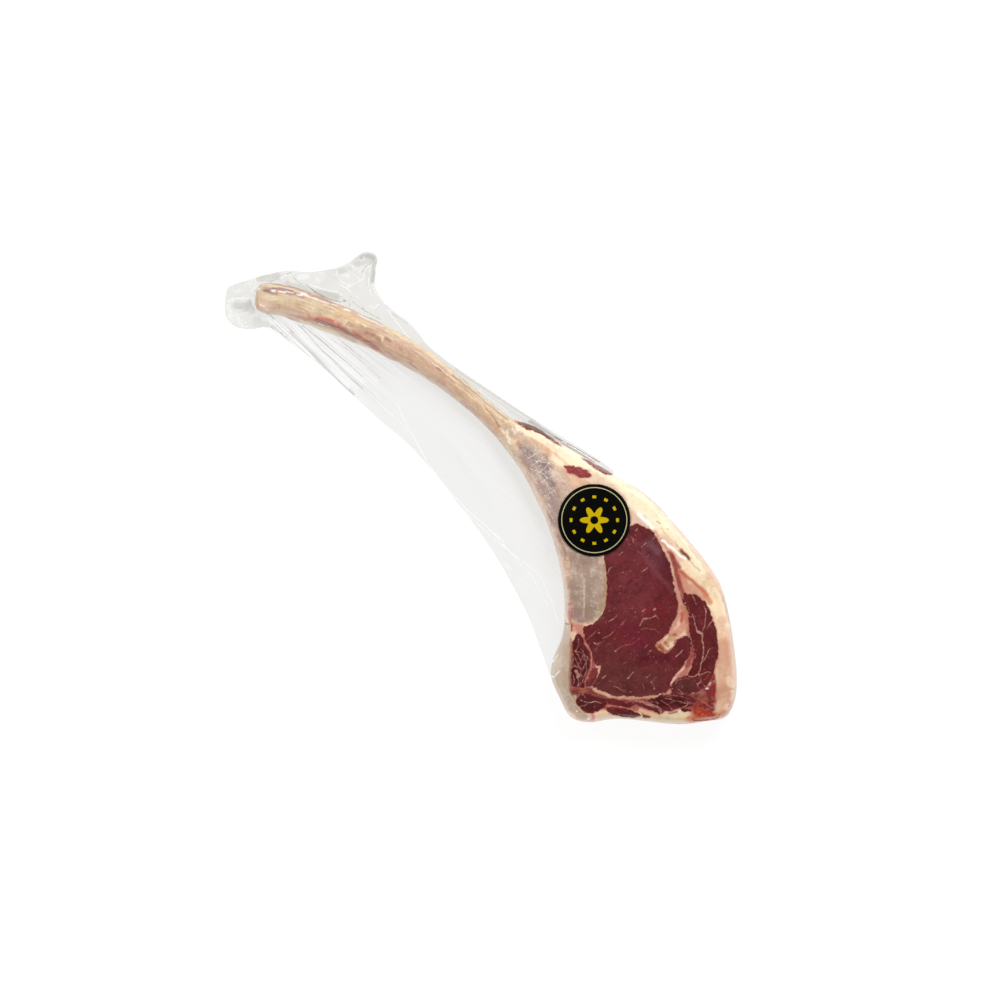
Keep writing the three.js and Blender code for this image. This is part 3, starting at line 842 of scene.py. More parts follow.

# veins and flecks in the lean, and one painted highlight: whiteness, half width, lines
leanVeinsAndGlint = [
    # eye
    (0.6, 0.9, [(639, 625), (643, 619), (645, 617.5), (650, 617.5), (655, 615)],
     [(602, 677.5), (605, 675)]),
    (0.7, 0.7, [(655, 613.5), (656, 616), (658, 618.5)], [(609, 680.3), (610, 680)]),
    (0.6, 1.1, [(643, 618.5), (646, 618)]), (0.5, 1.6, [(653, 609.3), (654.5, 608.8)]),
    (0.55, 0.8, [(641, 611.5), (644.5, 608.5)]), (0.2, 0.8, [(640, 629), (646, 627.5), (654, 629)]),
    (0.2, 0.6, [(654, 629), (659, 633)], [(626, 644.5), (636, 641), (639, 637)]),
    (0.6, 0.8, [(608, 621), (613, 618), (617, 615)], [(617, 657)]),
    (0.3, 0.5, [(622, 622), (626, 618)], [(605, 645), (609, 642)], [(651, 681), (656, 676)],
     [(583, 642), (590, 636), (596, 630)]),
    (0.5, 0.6, [(602, 638), (608, 635), (613, 632)], [(645, 677), (650, 673)],
     [(621, 573), (624, 571)], [(648, 581)], [(631, 537), (632, 539), (632.5, 542)],
     [(647, 653.5), (648.5, 652.3)], [(684, 650.3)]),
    (0.2, 0.5, [(594, 650), (601, 642.5), (604, 640)]),
    (0.25, 0.9, [(616, 649.5), (621, 646), (626, 644)]), (0.95, 1.0, [(614, 649.5), (615.5, 650)]),
    (0.9, 1.0, [(597.8, 632), (599.3, 631.6)]), (0.8, 0.9, [(593.3, 642), (595, 643)]),
    (0.6, 0.6, [(601.5, 626)], [(623, 663.5), (624.5, 662)], [(618.3, 627)],
     [(676.5, 667), (677.3, 669)]),
    (0.7, 0.8, [(627, 678), (631, 673), (633, 671)], [(649, 651), (650.5, 650)]),
    (0.6, 0.5, [(644, 674.5)], [(640, 674.5)]),
    (0.6, 0.7, [(650, 681), (652, 683), (654, 687), (653, 688.5)], [(608.8, 587.5)]),
    (0.35, 0.7, [(612, 685), (619, 688), (624, 691)], [(619, 683), (622, 688), (626, 692)]),
    (0.3, 0.6, [(641, 682), (644, 688)]),
    (0.4, 0.6, [(629, 691), (631, 691.5)], [(634, 534), (636, 537)], [(633, 552.5)],
     [(618, 586), (621, 585)], [(671, 667.5)]),
    (0.8, 0.7, [(640, 571.5), (643, 570.5), (646, 568)], [(616.7, 552.5)],
     [(618.5, 554.3), (622, 551.5)], [(633, 560.3), (634.5, 560)],
     [(674.5, 656), (677, 654), (680, 651.5), (681.5, 649.5)]),
    (0.7, 0.6, [(607, 573), (608.5, 569), (612, 566.5)], [(618.6, 560.3)],
     [(634.5, 531), (637, 528.3)]),
    (0.8, 0.6, [(624.5, 578.5)]), (0.4, 0.5, [(646.5, 586)], [(644, 647), (647, 644.5)]),
    (0.5, 0.7, [(640, 547.5), (643.5, 545), (645, 543)]),
    (0.5, 0.5, [(633, 612), (636, 610)], [(626, 634), (628, 632.5)], [(652, 657), (653.5, 655.7)]),
    (0.9, 0.7, [(680.5, 636.8), (683, 635.6)]),
    # the eye's pale edges
    (0.75, 0.9, [(655, 531.5), (658, 538), (661, 546), (665.5, 554), (669, 562)],
     [(599.5, 665.5), (598.7, 671), (596.5, 676)]),
    (0.7, 1.2, [(664, 550), (669, 560), (672, 570), (675, 580), (677, 592), (679, 602),
      (678.6, 611), (676, 619), (673.5, 624.5), (670.7, 631)]),
    (0.7, 0.8, [(585, 641), (588.5, 646), (590.7, 651), (591.3, 657), (591, 664), (589, 669)]),
    (0.4, 0.6, [(589.5, 671), (592, 666.5), (596, 665.3), (599, 666.5)]),
    (0.3, 0.5, [(597, 676), (594, 681), (591, 685), (590, 688)]),
    (0.85, 1.1, [(591, 687), (596, 689.8), (602, 692), (608, 694.8), (612.5, 696)]),
    (0.55, 0.8, [(620, 696.2), (640, 696.5), (655, 695), (664, 693)]),
    # cap
    (0.75, 1.1, [(700, 633), (701.3, 637), (702, 645), (702.4, 654), (700.5, 662), (699, 669),
      (697.3, 673.5)]),
    (0.6, 0.7, [(697.3, 673.5), (694, 675.3), (688, 675.5)],
     [(702.3, 661), (705, 656), (707.5, 650), (709, 648)],
     [(697.5, 674.5), (702, 673), (707, 671), (709.5, 671.7)]),
    (0.7, 2.0, [(697, 631), (701, 633.5)]), (0.65, 0.9, [(696, 630), (694, 624), (693, 617)]),
    (0.55, 0.7, [(693, 617), (691.5, 613.5)]), (0.55, 0.6, [(689, 616), (695, 615.5)]),
    (0.6, 0.8, [(701.5, 630), (704, 624), (704.5, 616), (705, 609), (703.3, 605.5)]),
    (0.5, 0.6, [(706, 629), (708.3, 623), (711.5, 620)], [(700, 616)]),
    (0.4, 0.5, [(712, 622), (714, 622.5)], [(693, 648.7), (697, 649)], [(713, 656)], [(704.5, 636)],
     [(681, 684), (682, 688)], [(675, 690), (680, 694), (684, 694)], [(706, 696), (708, 699)]),
    (0.7, 0.6, [(691.5, 596), (693.5, 600), (695.5, 604.5)]), (0.55, 1.5, [(684.5, 602.5)]),
    (0.5, 0.8, [(679, 589), (681, 594), (683, 598)]), (0.3, 0.6, [(687, 606), (689, 612)]),
    (0.6, 0.6, [(698, 601)], [(704.7, 605.5)], [(699, 675), (699.8, 680), (697.5, 683)]),
    (0.6, 0.5, [(701.5, 601.5)]), (0.45, 0.8, [(688.5, 634), (690, 640), (692, 646), (693, 651)]),
    (0.4, 0.6, [(691.8, 654), (693.5, 652.8), (695, 655), (693.8, 657.3), (691.8, 656)],
     [(674, 683), (677, 679.5), (683, 677.5), (688, 678)]),
    (0.5, 0.5, [(690, 638.5), (694, 640)], [(708, 641.5)], [(689, 677.5)]),
    (0.9, 0.7, [(696, 683), (698, 688.5)]), (0.9, 0.6, [(701, 681), (704, 685.5)]),
    # the dab at (706, 687) is a painted highlight, not a vein
    (1.0, 1.2, [(706, 687), (707, 688)]), (0.8, 0.7, [(709, 681.5), (712, 683.7)]),
    (0.7, 0.7, [(707.5, 667.5)]), (0.45, 0.6, [(678, 688), (681, 693), (686, 692)]),
    (0.5, 1.3, [(671.5, 688)]),
    # side
    (0.5, 0.6, [(574, 650), (580, 652), (584, 655), (583.5, 659)],
     [(576, 652), (579, 657), (581, 662)]),
    (0.35, 0.6, [(574, 655), (577, 663), (581, 667.5)],
     [(580, 648), (586, 656), (584, 664), (580, 672), (577, 684)]),
    (0.45, 0.7, [(587.5, 655), (586, 662), (586.5, 670), (584, 676), (581, 684)]),
    (0.4, 0.6, [(590, 670), (586.5, 676), (584, 682)], [(580, 669), (582, 676)],
     [(577, 636), (579, 644), (575, 650)], [(572, 660), (576, 668), (581, 676), (579, 686)]),
    (0.4, 0.7, [(571, 667), (575, 664.5), (580, 668), (584, 667)]),
    (0.65, 2.2, [(575, 671), (578, 675)]),
    (0.85, 0.6, [(572.5, 675), (574.3, 679), (573, 684)], [(576.5, 676), (578.3, 681), (577, 686)]),
    (0.3, 0.6, [(573.5, 657), (572.5, 662)]), (0.35, 0.5, [(583, 650), (582, 658), (578, 663)]),
    (0.4, 0.5, [(586, 662), (582, 670)]), (0.4, 0.8, [(576.3, 649.7)]),
    # foot
    (0.6, 0.6, [(577, 697), (579, 694), (583, 693.5), (585.3, 696.5)],
     [(580, 705.3), (584, 705.3), (587, 702.5)],
     [(608, 706), (614, 704.5), (622, 706.5), (630, 707.5)]),
    (0.8, 0.7, [(580, 699.5), (585, 701), (590, 701.7), (595, 700.3), (601, 702.3)]),
    (0.5, 0.5, [(610, 707.5)]),
    (0.4, 0.6, [(611, 708.5), (612.5, 707.5)], [(660, 700), (668, 704), (672, 709)]),
    (0.65, 0.8, [(634, 700), (641, 702), (650, 704.5), (657, 707), (661, 712)]),
    (0.55, 0.9, [(628, 699.5), (638, 699.6), (648, 702), (658, 706), (664, 711)]),
    (0.6, 0.8, [(634, 704.8), (642, 707), (651, 710.8), (660, 714)],
     [(660, 713), (668, 711.7), (676, 709), (681, 706.5), (687, 704)]),
    (0.35, 0.7, [(664, 695), (676, 694.5), (688, 698)]), (0.3, 0.6, [(684, 700), (694, 703)]),
    (0.35, 0.6, [(650, 700), (658, 702)]),
    (0.5, 0.6, [(664, 697), (672, 699), (680, 701), (690, 703)], [(655, 699.5), (657, 703)]),
    (0.4, 0.5, [(646, 700), (650, 701.5)]),
    # island
    (0.35, 0.5, [(570, 470), (576, 469), (581, 471), (584, 474)]),
    (0.3, 0.5, [(572, 473), (578, 474.5)]), (0.4, 0.5, [(578, 471.5), (583, 475.5)]),
]


def storePaint(piece, wander=0.5):
    x, y = drawnPlaces(readVertices(piece))
    x = x + wander * waves(x, y, 9, 31)
    y = y + wander * waves(x, y, 10, 32)
    storeColour(piece, "pale", paintStrokes(x, y, paleBase, palePaint))
    storeColour(piece, "lean", paintStrokes(x, y, leanBase, leanPaint))
    inside = np.full(len(x), -9.0)
    for outline in leanOutlines:
        touched = near(x, y, outline, 4)
        found = insideDistance(x[touched], y[touched], outline)
        inside[touched] = np.maximum(inside[touched], found)
    storeValue(piece, "leanField", np.clip(0.5 + inside / 6, 0, 1))
    # the lean's veins, with one painted highlight among them
    field, whiteness = veinField(x, y, leanVeinsAndGlint)
    storeValue(piece, "veinAndGlint", field)
    storeValue(piece, "veinAndGlintWhite", whiteness)


# materials of the cut

def makeMottleGroup():
    # darker and lighter patches over a tone, coarse and fine
    group, start, end = newGroup("mottle", [
        ("Tone", "NodeSocketColor", (1, 1, 1, 1)), ("Dark", "NodeSocketColor", (0, 0, 0, 1)),
        ("Light", "NodeSocketColor", (1, 1, 1, 1)), ("Place", "NodeSocketVector", None),
        ("Coarse", "NodeSocketFloat", 60.0), ("Fine", "NodeSocketFloat", 400.0),
        ("Darken", "NodeSocketFloat", 0.4), ("Lighten", "NodeSocketFloat", 0.2),
    ], [("Color", "NodeSocketColor"), ("Height", "NodeSocketFloat")])
    place = start.outputs["Place"]
    coarse = noise(group, place, start.outputs["Coarse"], 5.0, 0.6).outputs[0]
    fine = noise(group, place, start.outputs["Fine"], 4.0, 0.65).outputs[0]
    both = calc(group, "MULTIPLY_ADD", fine, 0.45, calc(group, "MULTIPLY", coarse, 0.55))
    dark = calc(group, "MULTIPLY", ramp(group, both, 0.47, 0.64), start.outputs["Darken"])
    light = calc(group, "MULTIPLY", ramp(group, both, 0.50, 0.34), start.outputs["Lighten"])
    darker = blend(group, dark, start.outputs["Tone"], start.outputs["Dark"])
    lighter = blend(group, light, darker, start.outputs["Light"])
    group.links.new(lighter, end.inputs["Color"])
    group.links.new(both, end.inputs["Height"])
    return group


def makeEdgeGroup():
    # a crisp, slightly ragged mask of where a stored field is over a half
    group, start, end = newGroup("edge", [
        ("Field", "NodeSocketFloat", 0.0), ("Place", "NodeSocketVector", None),
        ("Scale", "NodeSocketFloat", 420.0), ("Ragged", "NodeSocketFloat", 0.3),
        ("Soft", "NodeSocketFloat", 0.06),
    ], [("Mask", "NodeSocketFloat")])
    rough = noise(group, start.outputs["Place"], start.outputs["Scale"], 3.0).outputs[0]
    uneven = calc(group, "MULTIPLY", calc(group, "SUBTRACT", rough, 0.5),
                  start.outputs["Ragged"])
    above = calc(group, "SUBTRACT", calc(group, "ADD", start.outputs["Field"], uneven), 0.5)
    soft = start.outputs["Soft"]
    mask = ramp(group, above, calc(group, "MULTIPLY", soft, -1.0), soft)
    group.links.new(mask, end.inputs["Mask"])
    return group


def makeFleckGroup():
    # scattered short flecks, all drawn out one way
    group, start, end = newGroup("fleck", [
        ("Place", "NodeSocketVector", None), ("Turn", "NodeSocketFloat", 0.5),
        ("Scale", "NodeSocketFloat", 200.0), ("Stretch", "NodeSocketFloat", 0.35),
        ("Share", "NodeSocketFloat", 0.5), ("Size", "NodeSocketFloat", 0.2),
    ], [("Mask", "NodeSocketFloat")])
    turned = addNode(group, "ShaderNodeVectorRotate",
                     {"Vector": start.outputs["Place"], "Angle": start.outputs["Turn"]},
                     rotation_type="Z_AXIS")
    bend = noise(group, turned.outputs[0], 170.0, 3.0).outputs["Color"]
    bent = addNode(group, "ShaderNodeVectorMath",
                   {0: bend, 1: (0.006, 0.006, 0.004), 2: turned.outputs[0]},
                   operation="MULTIPLY_ADD")
    stretch = addNode(group, "ShaderNodeCombineXYZ",
                      {"X": start.outputs["Stretch"], "Y": 1.0, "Z": 0.4})
    drawnOut = addNode(group, "ShaderNodeVectorMath",
                       {0: bent.outputs[0], 1: stretch.outputs[0]}, operation="MULTIPLY")
    cells = addNode(group, "ShaderNodeTexVoronoi",
                    {"Vector": drawnOut.outputs[0], "Scale": start.outputs["Scale"]})
    chance = addNode(group, "ShaderNodeSeparateColor", {"Color": cells.outputs["Color"]})
    there = calc(group, "LESS_THAN", chance.outputs[0], start.outputs["Share"])
    size = calc(group, "MULTIPLY", start.outputs["Size"],
                ramp(group, chance.outputs[1], 0.0, 1.0, 0.35, 1.3))
    inside = calc(group, "SUBTRACT", size, cells.outputs["Distance"])
    mask = calc(group, "MULTIPLY", ramp(group, inside, -0.02, 0.09), there)
    faint = calc(group, "MULTIPLY", mask, ramp(group, chance.outputs[2], 0.0, 1.0, 0.3, 1.0))
    group.links.new(faint, end.inputs["Mask"])
    return group


def makeCrinkleGroup():
    # the fine crinkle of film that clings to the surface under it
    group, start, end = newGroup("crinkle", [
        ("Place", "NodeSocketVector", None),
    ], [("Height", "NodeSocketFloat")])
    warp = noise(group, start.outputs["Place"], 35.0, 2.0).outputs["Color"]
    warped = addNode(group, "ShaderNodeVectorMath",
                     {0: warp, 1: (0.03, 0.03, 0.03), 2: start.outputs["Place"]},
                     operation="MULTIPLY_ADD")
    ridges = addNode(group, "ShaderNodeTexVoronoi",
                     {"Vector": warped.outputs[0], "Scale": 90.0}, feature="SMOOTH_F1")
    group.links.new(ridges.outputs["Distance"], end.inputs["Height"])
    return group


mottleGroup = makeMottleGroup()
edgeGroup = makeEdgeGroup()
fleckGroup = makeFleckGroup()
crinkleGroup = makeCrinkleGroup()


def objectPlace(tree):
    return addNode(tree, "ShaderNodeTexCoord").outputs["Object"]


coat = {"weight": 0.8, "onLean": 0.42, "roughness": 0.14, "ior": 1.45, "crinkleDepth": 0.00035}


def wetCoat(tree, shader, place, height, depth):
    # the body's own relief, and over it the clinging film's gloss with its crinkles
    own = addNode(tree, "ShaderNodeBump", {"Height": height, "Distance": depth,
                                           "Strength": 1.0})
    crinkle = useGroup(tree, crinkleGroup, {"Place": place})
    over = addNode(tree, "ShaderNodeBump", {"Height": crinkle.outputs["Height"],
                                            "Distance": coat["crinkleDepth"], "Strength": 1.0,
                                            "Normal": own.outputs[0]})
    tree.links.new(own.outputs[0], shader.inputs["Normal"])
    tree.links.new(over.outputs[0], shader.inputs["Coat Normal"])
    shader.inputs["Coat Weight"].default_value = coat["weight"]
    shader.inputs["Coat Roughness"].default_value = coat["roughness"]
    shader.inputs["Coat IOR"].default_value = coat["ior"]


fibreTurn = math.radians(-33)


def makeCutMaterial():
    material, tree, shader = newMaterial("freshCut")
    place = objectPlace(tree)
    pale = useGroup(tree, mottleGroup, {
        "Tone": readColour(tree, "pale"), "Dark": sRgb(196, 138, 108),
        "Light": sRgb(255, 238, 212), "Place": place, "Coarse": 60.0, "Fine": 330.0,
        "Darken": 0.36, "Lighten": 0.22})
    lean = useGroup(tree, mottleGroup, {
        "Tone": readColour(tree, "lean"), "Dark": sRgb(62, 18, 24),
        "Light": sRgb(146, 66, 72), "Place": place, "Coarse": 90.0, "Fine": 520.0,
        "Darken": 0.52, "Lighten": 0.26})
    largeFlecks = useGroup(tree, fleckGroup, {
        "Place": place, "Turn": fibreTurn, "Scale": 230.0, "Stretch": 0.36,
        "Share": 0.24, "Size": 0.20})
    smallFlecks = useGroup(tree, fleckGroup, {
        "Place": place, "Turn": fibreTurn, "Scale": 520.0, "Stretch": 0.5,
        "Share": 0.40, "Size": 0.24})
    veinAndGlint = useGroup(tree, edgeGroup, {
        "Field": readValue(tree, "veinAndGlint"), "Place": place, "Scale": 620.0, "Ragged": 0.42,
        "Soft": 0.10})
    edge = useGroup(tree, edgeGroup, {
        "Field": readValue(tree, "leanField"), "Place": place, "Ragged": 0.8, "Soft": 0.06})
    veinAndGlintTone = blend(tree, readValue(tree, "veinAndGlintWhite"), sRgb(136, 56, 56),
                     sRgb(214, 168, 150))
    flecked = blend(tree, calc(tree, "MULTIPLY", largeFlecks.outputs[0], 0.45),
                    lean.outputs["Color"], sRgb(200, 150, 140))
    speckled = blend(tree, calc(tree, "MULTIPLY", smallFlecks.outputs[0], 0.22),
                     flecked, sRgb(190, 130, 126))
    # the fat blushes beside the lean, the lean takes over at its edge, and veins, with one painted
    # highlight among them, lie over both
    beside = calc(tree, "MULTIPLY", ramp(tree, readValue(tree, "leanField"), 0.22, 0.52),
                  ramp(tree, noise(tree, place, 260.0).outputs[0], 0.40, 0.60, 0.25, 0.90))
    blushed = blend(tree, beside, pale.outputs["Color"], sRgb(156, 66, 60))
    both = blend(tree, edge.outputs[0], blushed, speckled)
    strength = ramp(tree, noise(tree, place, 330.0).outputs[0], 0.35, 0.62, 0.30, 0.80)
    veinedAndGlinted = blend(tree, calc(tree, "MULTIPLY", veinAndGlint.outputs[0], strength), both, veinAndGlintTone)
    tree.links.new(veinedAndGlinted, shader.inputs["Base Color"])
    shader.inputs["Roughness"].default_value = 0.5
    shader.inputs["Specular IOR Level"].default_value = 0.12
    shader.inputs["Subsurface Weight"].default_value = 0.06
    shader.inputs["Subsurface Scale"].default_value = 0.002
    relief = calc(tree, "MULTIPLY_ADD", veinAndGlint.outputs[0], 0.08, lean.outputs["Height"])
    wetCoat(tree, shader, place, relief, 0.0005)
    # the film is less glossy over the lean
    gloss = calc(tree, "MULTIPLY_ADD", edge.outputs[0], coat["onLean"] - coat["weight"],
                 coat["weight"])
    tree.links.new(gloss, shader.inputs["Coat Weight"])
    return material


freshCut = makeCutMaterial()


# lean, fat and juice

seamShape = {"inflate": 0.25, "steepest": 0.6, "drop": 1.6, "lowest": 12.0, "swell": 0.30,
             "ripple": 0.10}


def flattenSeams(piece):
    # close the hairlines to the neighbours and bring the top to one even height
    points = readVertices(piece)
    normals = readVertices(piece, "normal")
    points += normals * seamShape["inflate"] * mm
    height = top.sample(top.grid, points)
    lifted = (top.sample(top.slope, points) < seamShape["steepest"]) & (normals[:, 2] > 0.02)
    lifted &= height - points[:, 2] < seamShape["drop"] * mm
    lifted &= points[:, 2] > seamShape["lowest"] * mm
    points[lifted, 2] = height[lifted]
    x, y = drawnPlaces(points)
    swell = seamShape["swell"] * waves(x, y, 34, 23) + seamShape["ripple"] * waves(x, y, 9, 24)
    facingUp = np.clip(normals[:, 2], 0, 1) ** 2
    points[:, 2] += np.where(lifted, 1, facingUp) * mm * swell
    writePoints(piece, points)


def makeCut(name, node, voxel, slotName):
    piece = copyNodes(name, node)
    remesh(piece, voxel, 2)
    flattenSeams(piece)
    storePaint(piece)
    finishPiece(piece, freshCut, slotName, node)


# name, node, voxel, slot
cuts = [("eyeMeat", "eye_muscle", 0.8, "lean"), ("capMeat", "cap_muscle", 0.7, "lean"),
        ("sideMeat", "side_muscle", 0.65, "lean"), ("leanIsland", "lean_island", 0.65, "lean"),
        ("juicePool", "juice_pocket", 0.7, "juice")]
cuts += [(f"lowerLean{number}", f"lower_lean_{number}", 0.6, "lean") for number in range(1, 5)]
cuts += [(f"edgeLean{number}", f"edge_lean_{number}", 0.7, "lean") for number in (1, 2)]
cuts += [("fatCap", "fat_cap", 0.9, "fat")]
for cut in cuts:
    makeCut(*cut)


# bone

boneShape = {
    "voxel": 0.95, "uneven": 0.45, "humps": 20, "neck": 512, "fade": 16, "flow": (22, 1.9, 3),
    "axis": ((260, 297), (494, 419)),
    "spine": [(262.6, 296.6), (280.7, 298.9), (301.3, 305.1), (341.9, 321.3), (381.9, 338.8),
              (423.2, 361.9), (454.4, 385), (476.9, 403.8), (494.4, 418.8)],
}

# pale fibres in the membrane: whiteness, half width, lines
boneFibres = [
    (0.9, 0.6, [(525, 455), (532, 460), (540, 462), (548, 463), (553, 467)],
     [(545, 474), (548, 471.5), (552, 469)]),
    (0.9, 0.7, [(530, 469), (538, 472), (544, 475), (547, 478)]),
    (0.8, 0.6, [(543, 478), (547, 485), (551, 490)]),
    (0.7, 0.5, [(537, 463), (539, 468), (541, 472)], [(533, 463), (537, 470), (543, 474)],
     [(541, 455), (542, 460), (540, 463)], [(527, 459), (534, 455), (541, 450)],
     [(531, 466), (539, 461), (546, 455)], [(536, 475), (545, 468), (550, 461)]),
    (0.6, 0.5, [(525, 451), (530, 456), (538, 459)], [(546, 484), (549, 492), (553, 495)],
     [(534, 478), (538, 486), (541, 494)], [(548, 466), (553, 474), (554, 482)],
     [(552, 486), (556, 494), (558, 500)], [(540, 483), (548, 478), (556, 474)]),
    (0.5, 0.5, [(529, 474), (535, 481)], [(541, 490), (546, 498), (549, 507)],
     [(527, 446), (529, 452)]),
    (0.9, 0.8, [(546, 478), (547, 478.5)]), (0.6, 0.6, [(545, 505), (550, 514), (555, 522)]),
    (0.5, 0.4, [(545, 497), (552, 492), (559, 489)], [(550, 508), (556, 503)]),
    (0.4, 0.5, [(583.5, 584), (584, 600), (583, 614)]),
]


def makeBoneMaterial():
    material, tree, shader = newMaterial("ribUnderMembrane")
    place = objectPlace(tree)
    flow = readVector(tree, "ribFlow")
    streaks = noise(tree, flow, 1.0, 6.0, 0.62).outputs[0]
    onRib = readValue(tree, "onRib")
    pale = useGroup(tree, mottleGroup, {
        "Tone": readColour(tree, "pale"), "Dark": sRgb(136, 104, 94),
        "Light": sRgb(240, 226, 208), "Place": place, "Coarse": 95.0, "Fine": 430.0,
        "Darken": calc(tree, "MULTIPLY_ADD", onRib, -0.30, 0.55),
        "Lighten": calc(tree, "MULTIPLY_ADD", onRib, -0.28, 0.42)})
    streak = calc(tree, "MULTIPLY", ramp(tree, streaks, 0.50, 0.68, 0.0, 0.60), onRib)
    shine = calc(tree, "MULTIPLY", ramp(tree, streaks, 0.46, 0.32, 0.0, 0.40), onRib)
    streaked = blend(tree, streak, pale.outputs["Color"], sRgb(176, 120, 96))
    lit = blend(tree, shine, streaked, sRgb(246, 226, 190))
    fibre = useGroup(tree, edgeGroup, {
        "Field": readValue(tree, "fibre"), "Place": place, "Ragged": 0.3, "Soft": 0.10})
    edge = useGroup(tree, edgeGroup, {
        "Field": readValue(tree, "leanField"), "Place": place, "Ragged": 0.30, "Soft": 0.05})
    fibred = blend(tree, calc(tree, "MULTIPLY", fibre.outputs[0], 0.6), lit,
                   sRgb(236, 226, 214))
    whole = blend(tree, edge.outputs[0], fibred, readColour(tree, "lean"))
    tree.links.new(whole, shader.inputs["Base Color"])
    shader.inputs["Roughness"].default_value = 0.45
    shader.inputs["Subsurface Weight"].default_value = 0.05
    shader.inputs["Subsurface Scale"].default_value = 0.002
    relief = calc(tree, "MULTIPLY_ADD", fibre.outputs[0], 0.3, pale.outputs["Height"])
    wetCoat(tree, shader, place, relief, 0.0007)
    return material


def makeBone():
    piece = copyNodes("ribBone", "rib_bone")
    remesh(piece, boneShape["voxel"], 3)
    flattenSeams(piece)
    points = readVertices(piece)
    x, y = drawnPlaces(points)
    uneven = boneShape["uneven"] * waves(x + points[:, 2] / square, y, boneShape["humps"], 51)
    uneven *= np.clip((boneShape["neck"] + 8 - x) / 60, 0.15, 1)
    points += readVertices(piece, "normal") * (mm * uneven)[:, None]
    writePoints(piece, points)
    storePaint(piece)
    field, _ = veinField(x, y, boneFibres)
    storeValue(piece, "fibre", field)
    # the streaks are long along the rib, thin across it and a little deeper down
    gap, along = lineDistance(x, y, boneShape["spine"])
    (ax, ay), (bx, by) = boneShape["axis"]
    side = np.sign((y - ay) * (bx - ax) - (x - ax) * (by - ay) + 0.001)
    flow = np.stack([along, side * gap, points[:, 2] / mm], axis=1) / boneShape["flow"]
    storeVector(piece, "ribFlow", flow)
    storeValue(piece, "onRib", np.clip((boneShape["neck"] - x) / boneShape["fade"], 0, 1))
    finishPiece(piece, makeBoneMaterial(), "bone", "rib_bone")


makeBone()


# film

filmShape = {"grow": 1.6, "widen": 0.9, "voxel": 0.9, "inward": 1.4,
             "thinness": 0.25, "thin": 2.1, "corner": (262, 312), "turn": 44, "fan": 0.003,
             "pull": 140, "flow": (90, 1.6, 1), "webEdge": (280, 316, 0.33), "backEdge": 292,
             "fade": 16}

# tones of the free film: colour, strength, reach, lines. Strokes in bright are painted highlights
# on its wrinkles and folds
filmBase = (196, 193, 178)
dull = (160, 159, 145)
olive = (132, 128, 98)
clear = (214, 214, 208)
bright = (246, 246, 243)

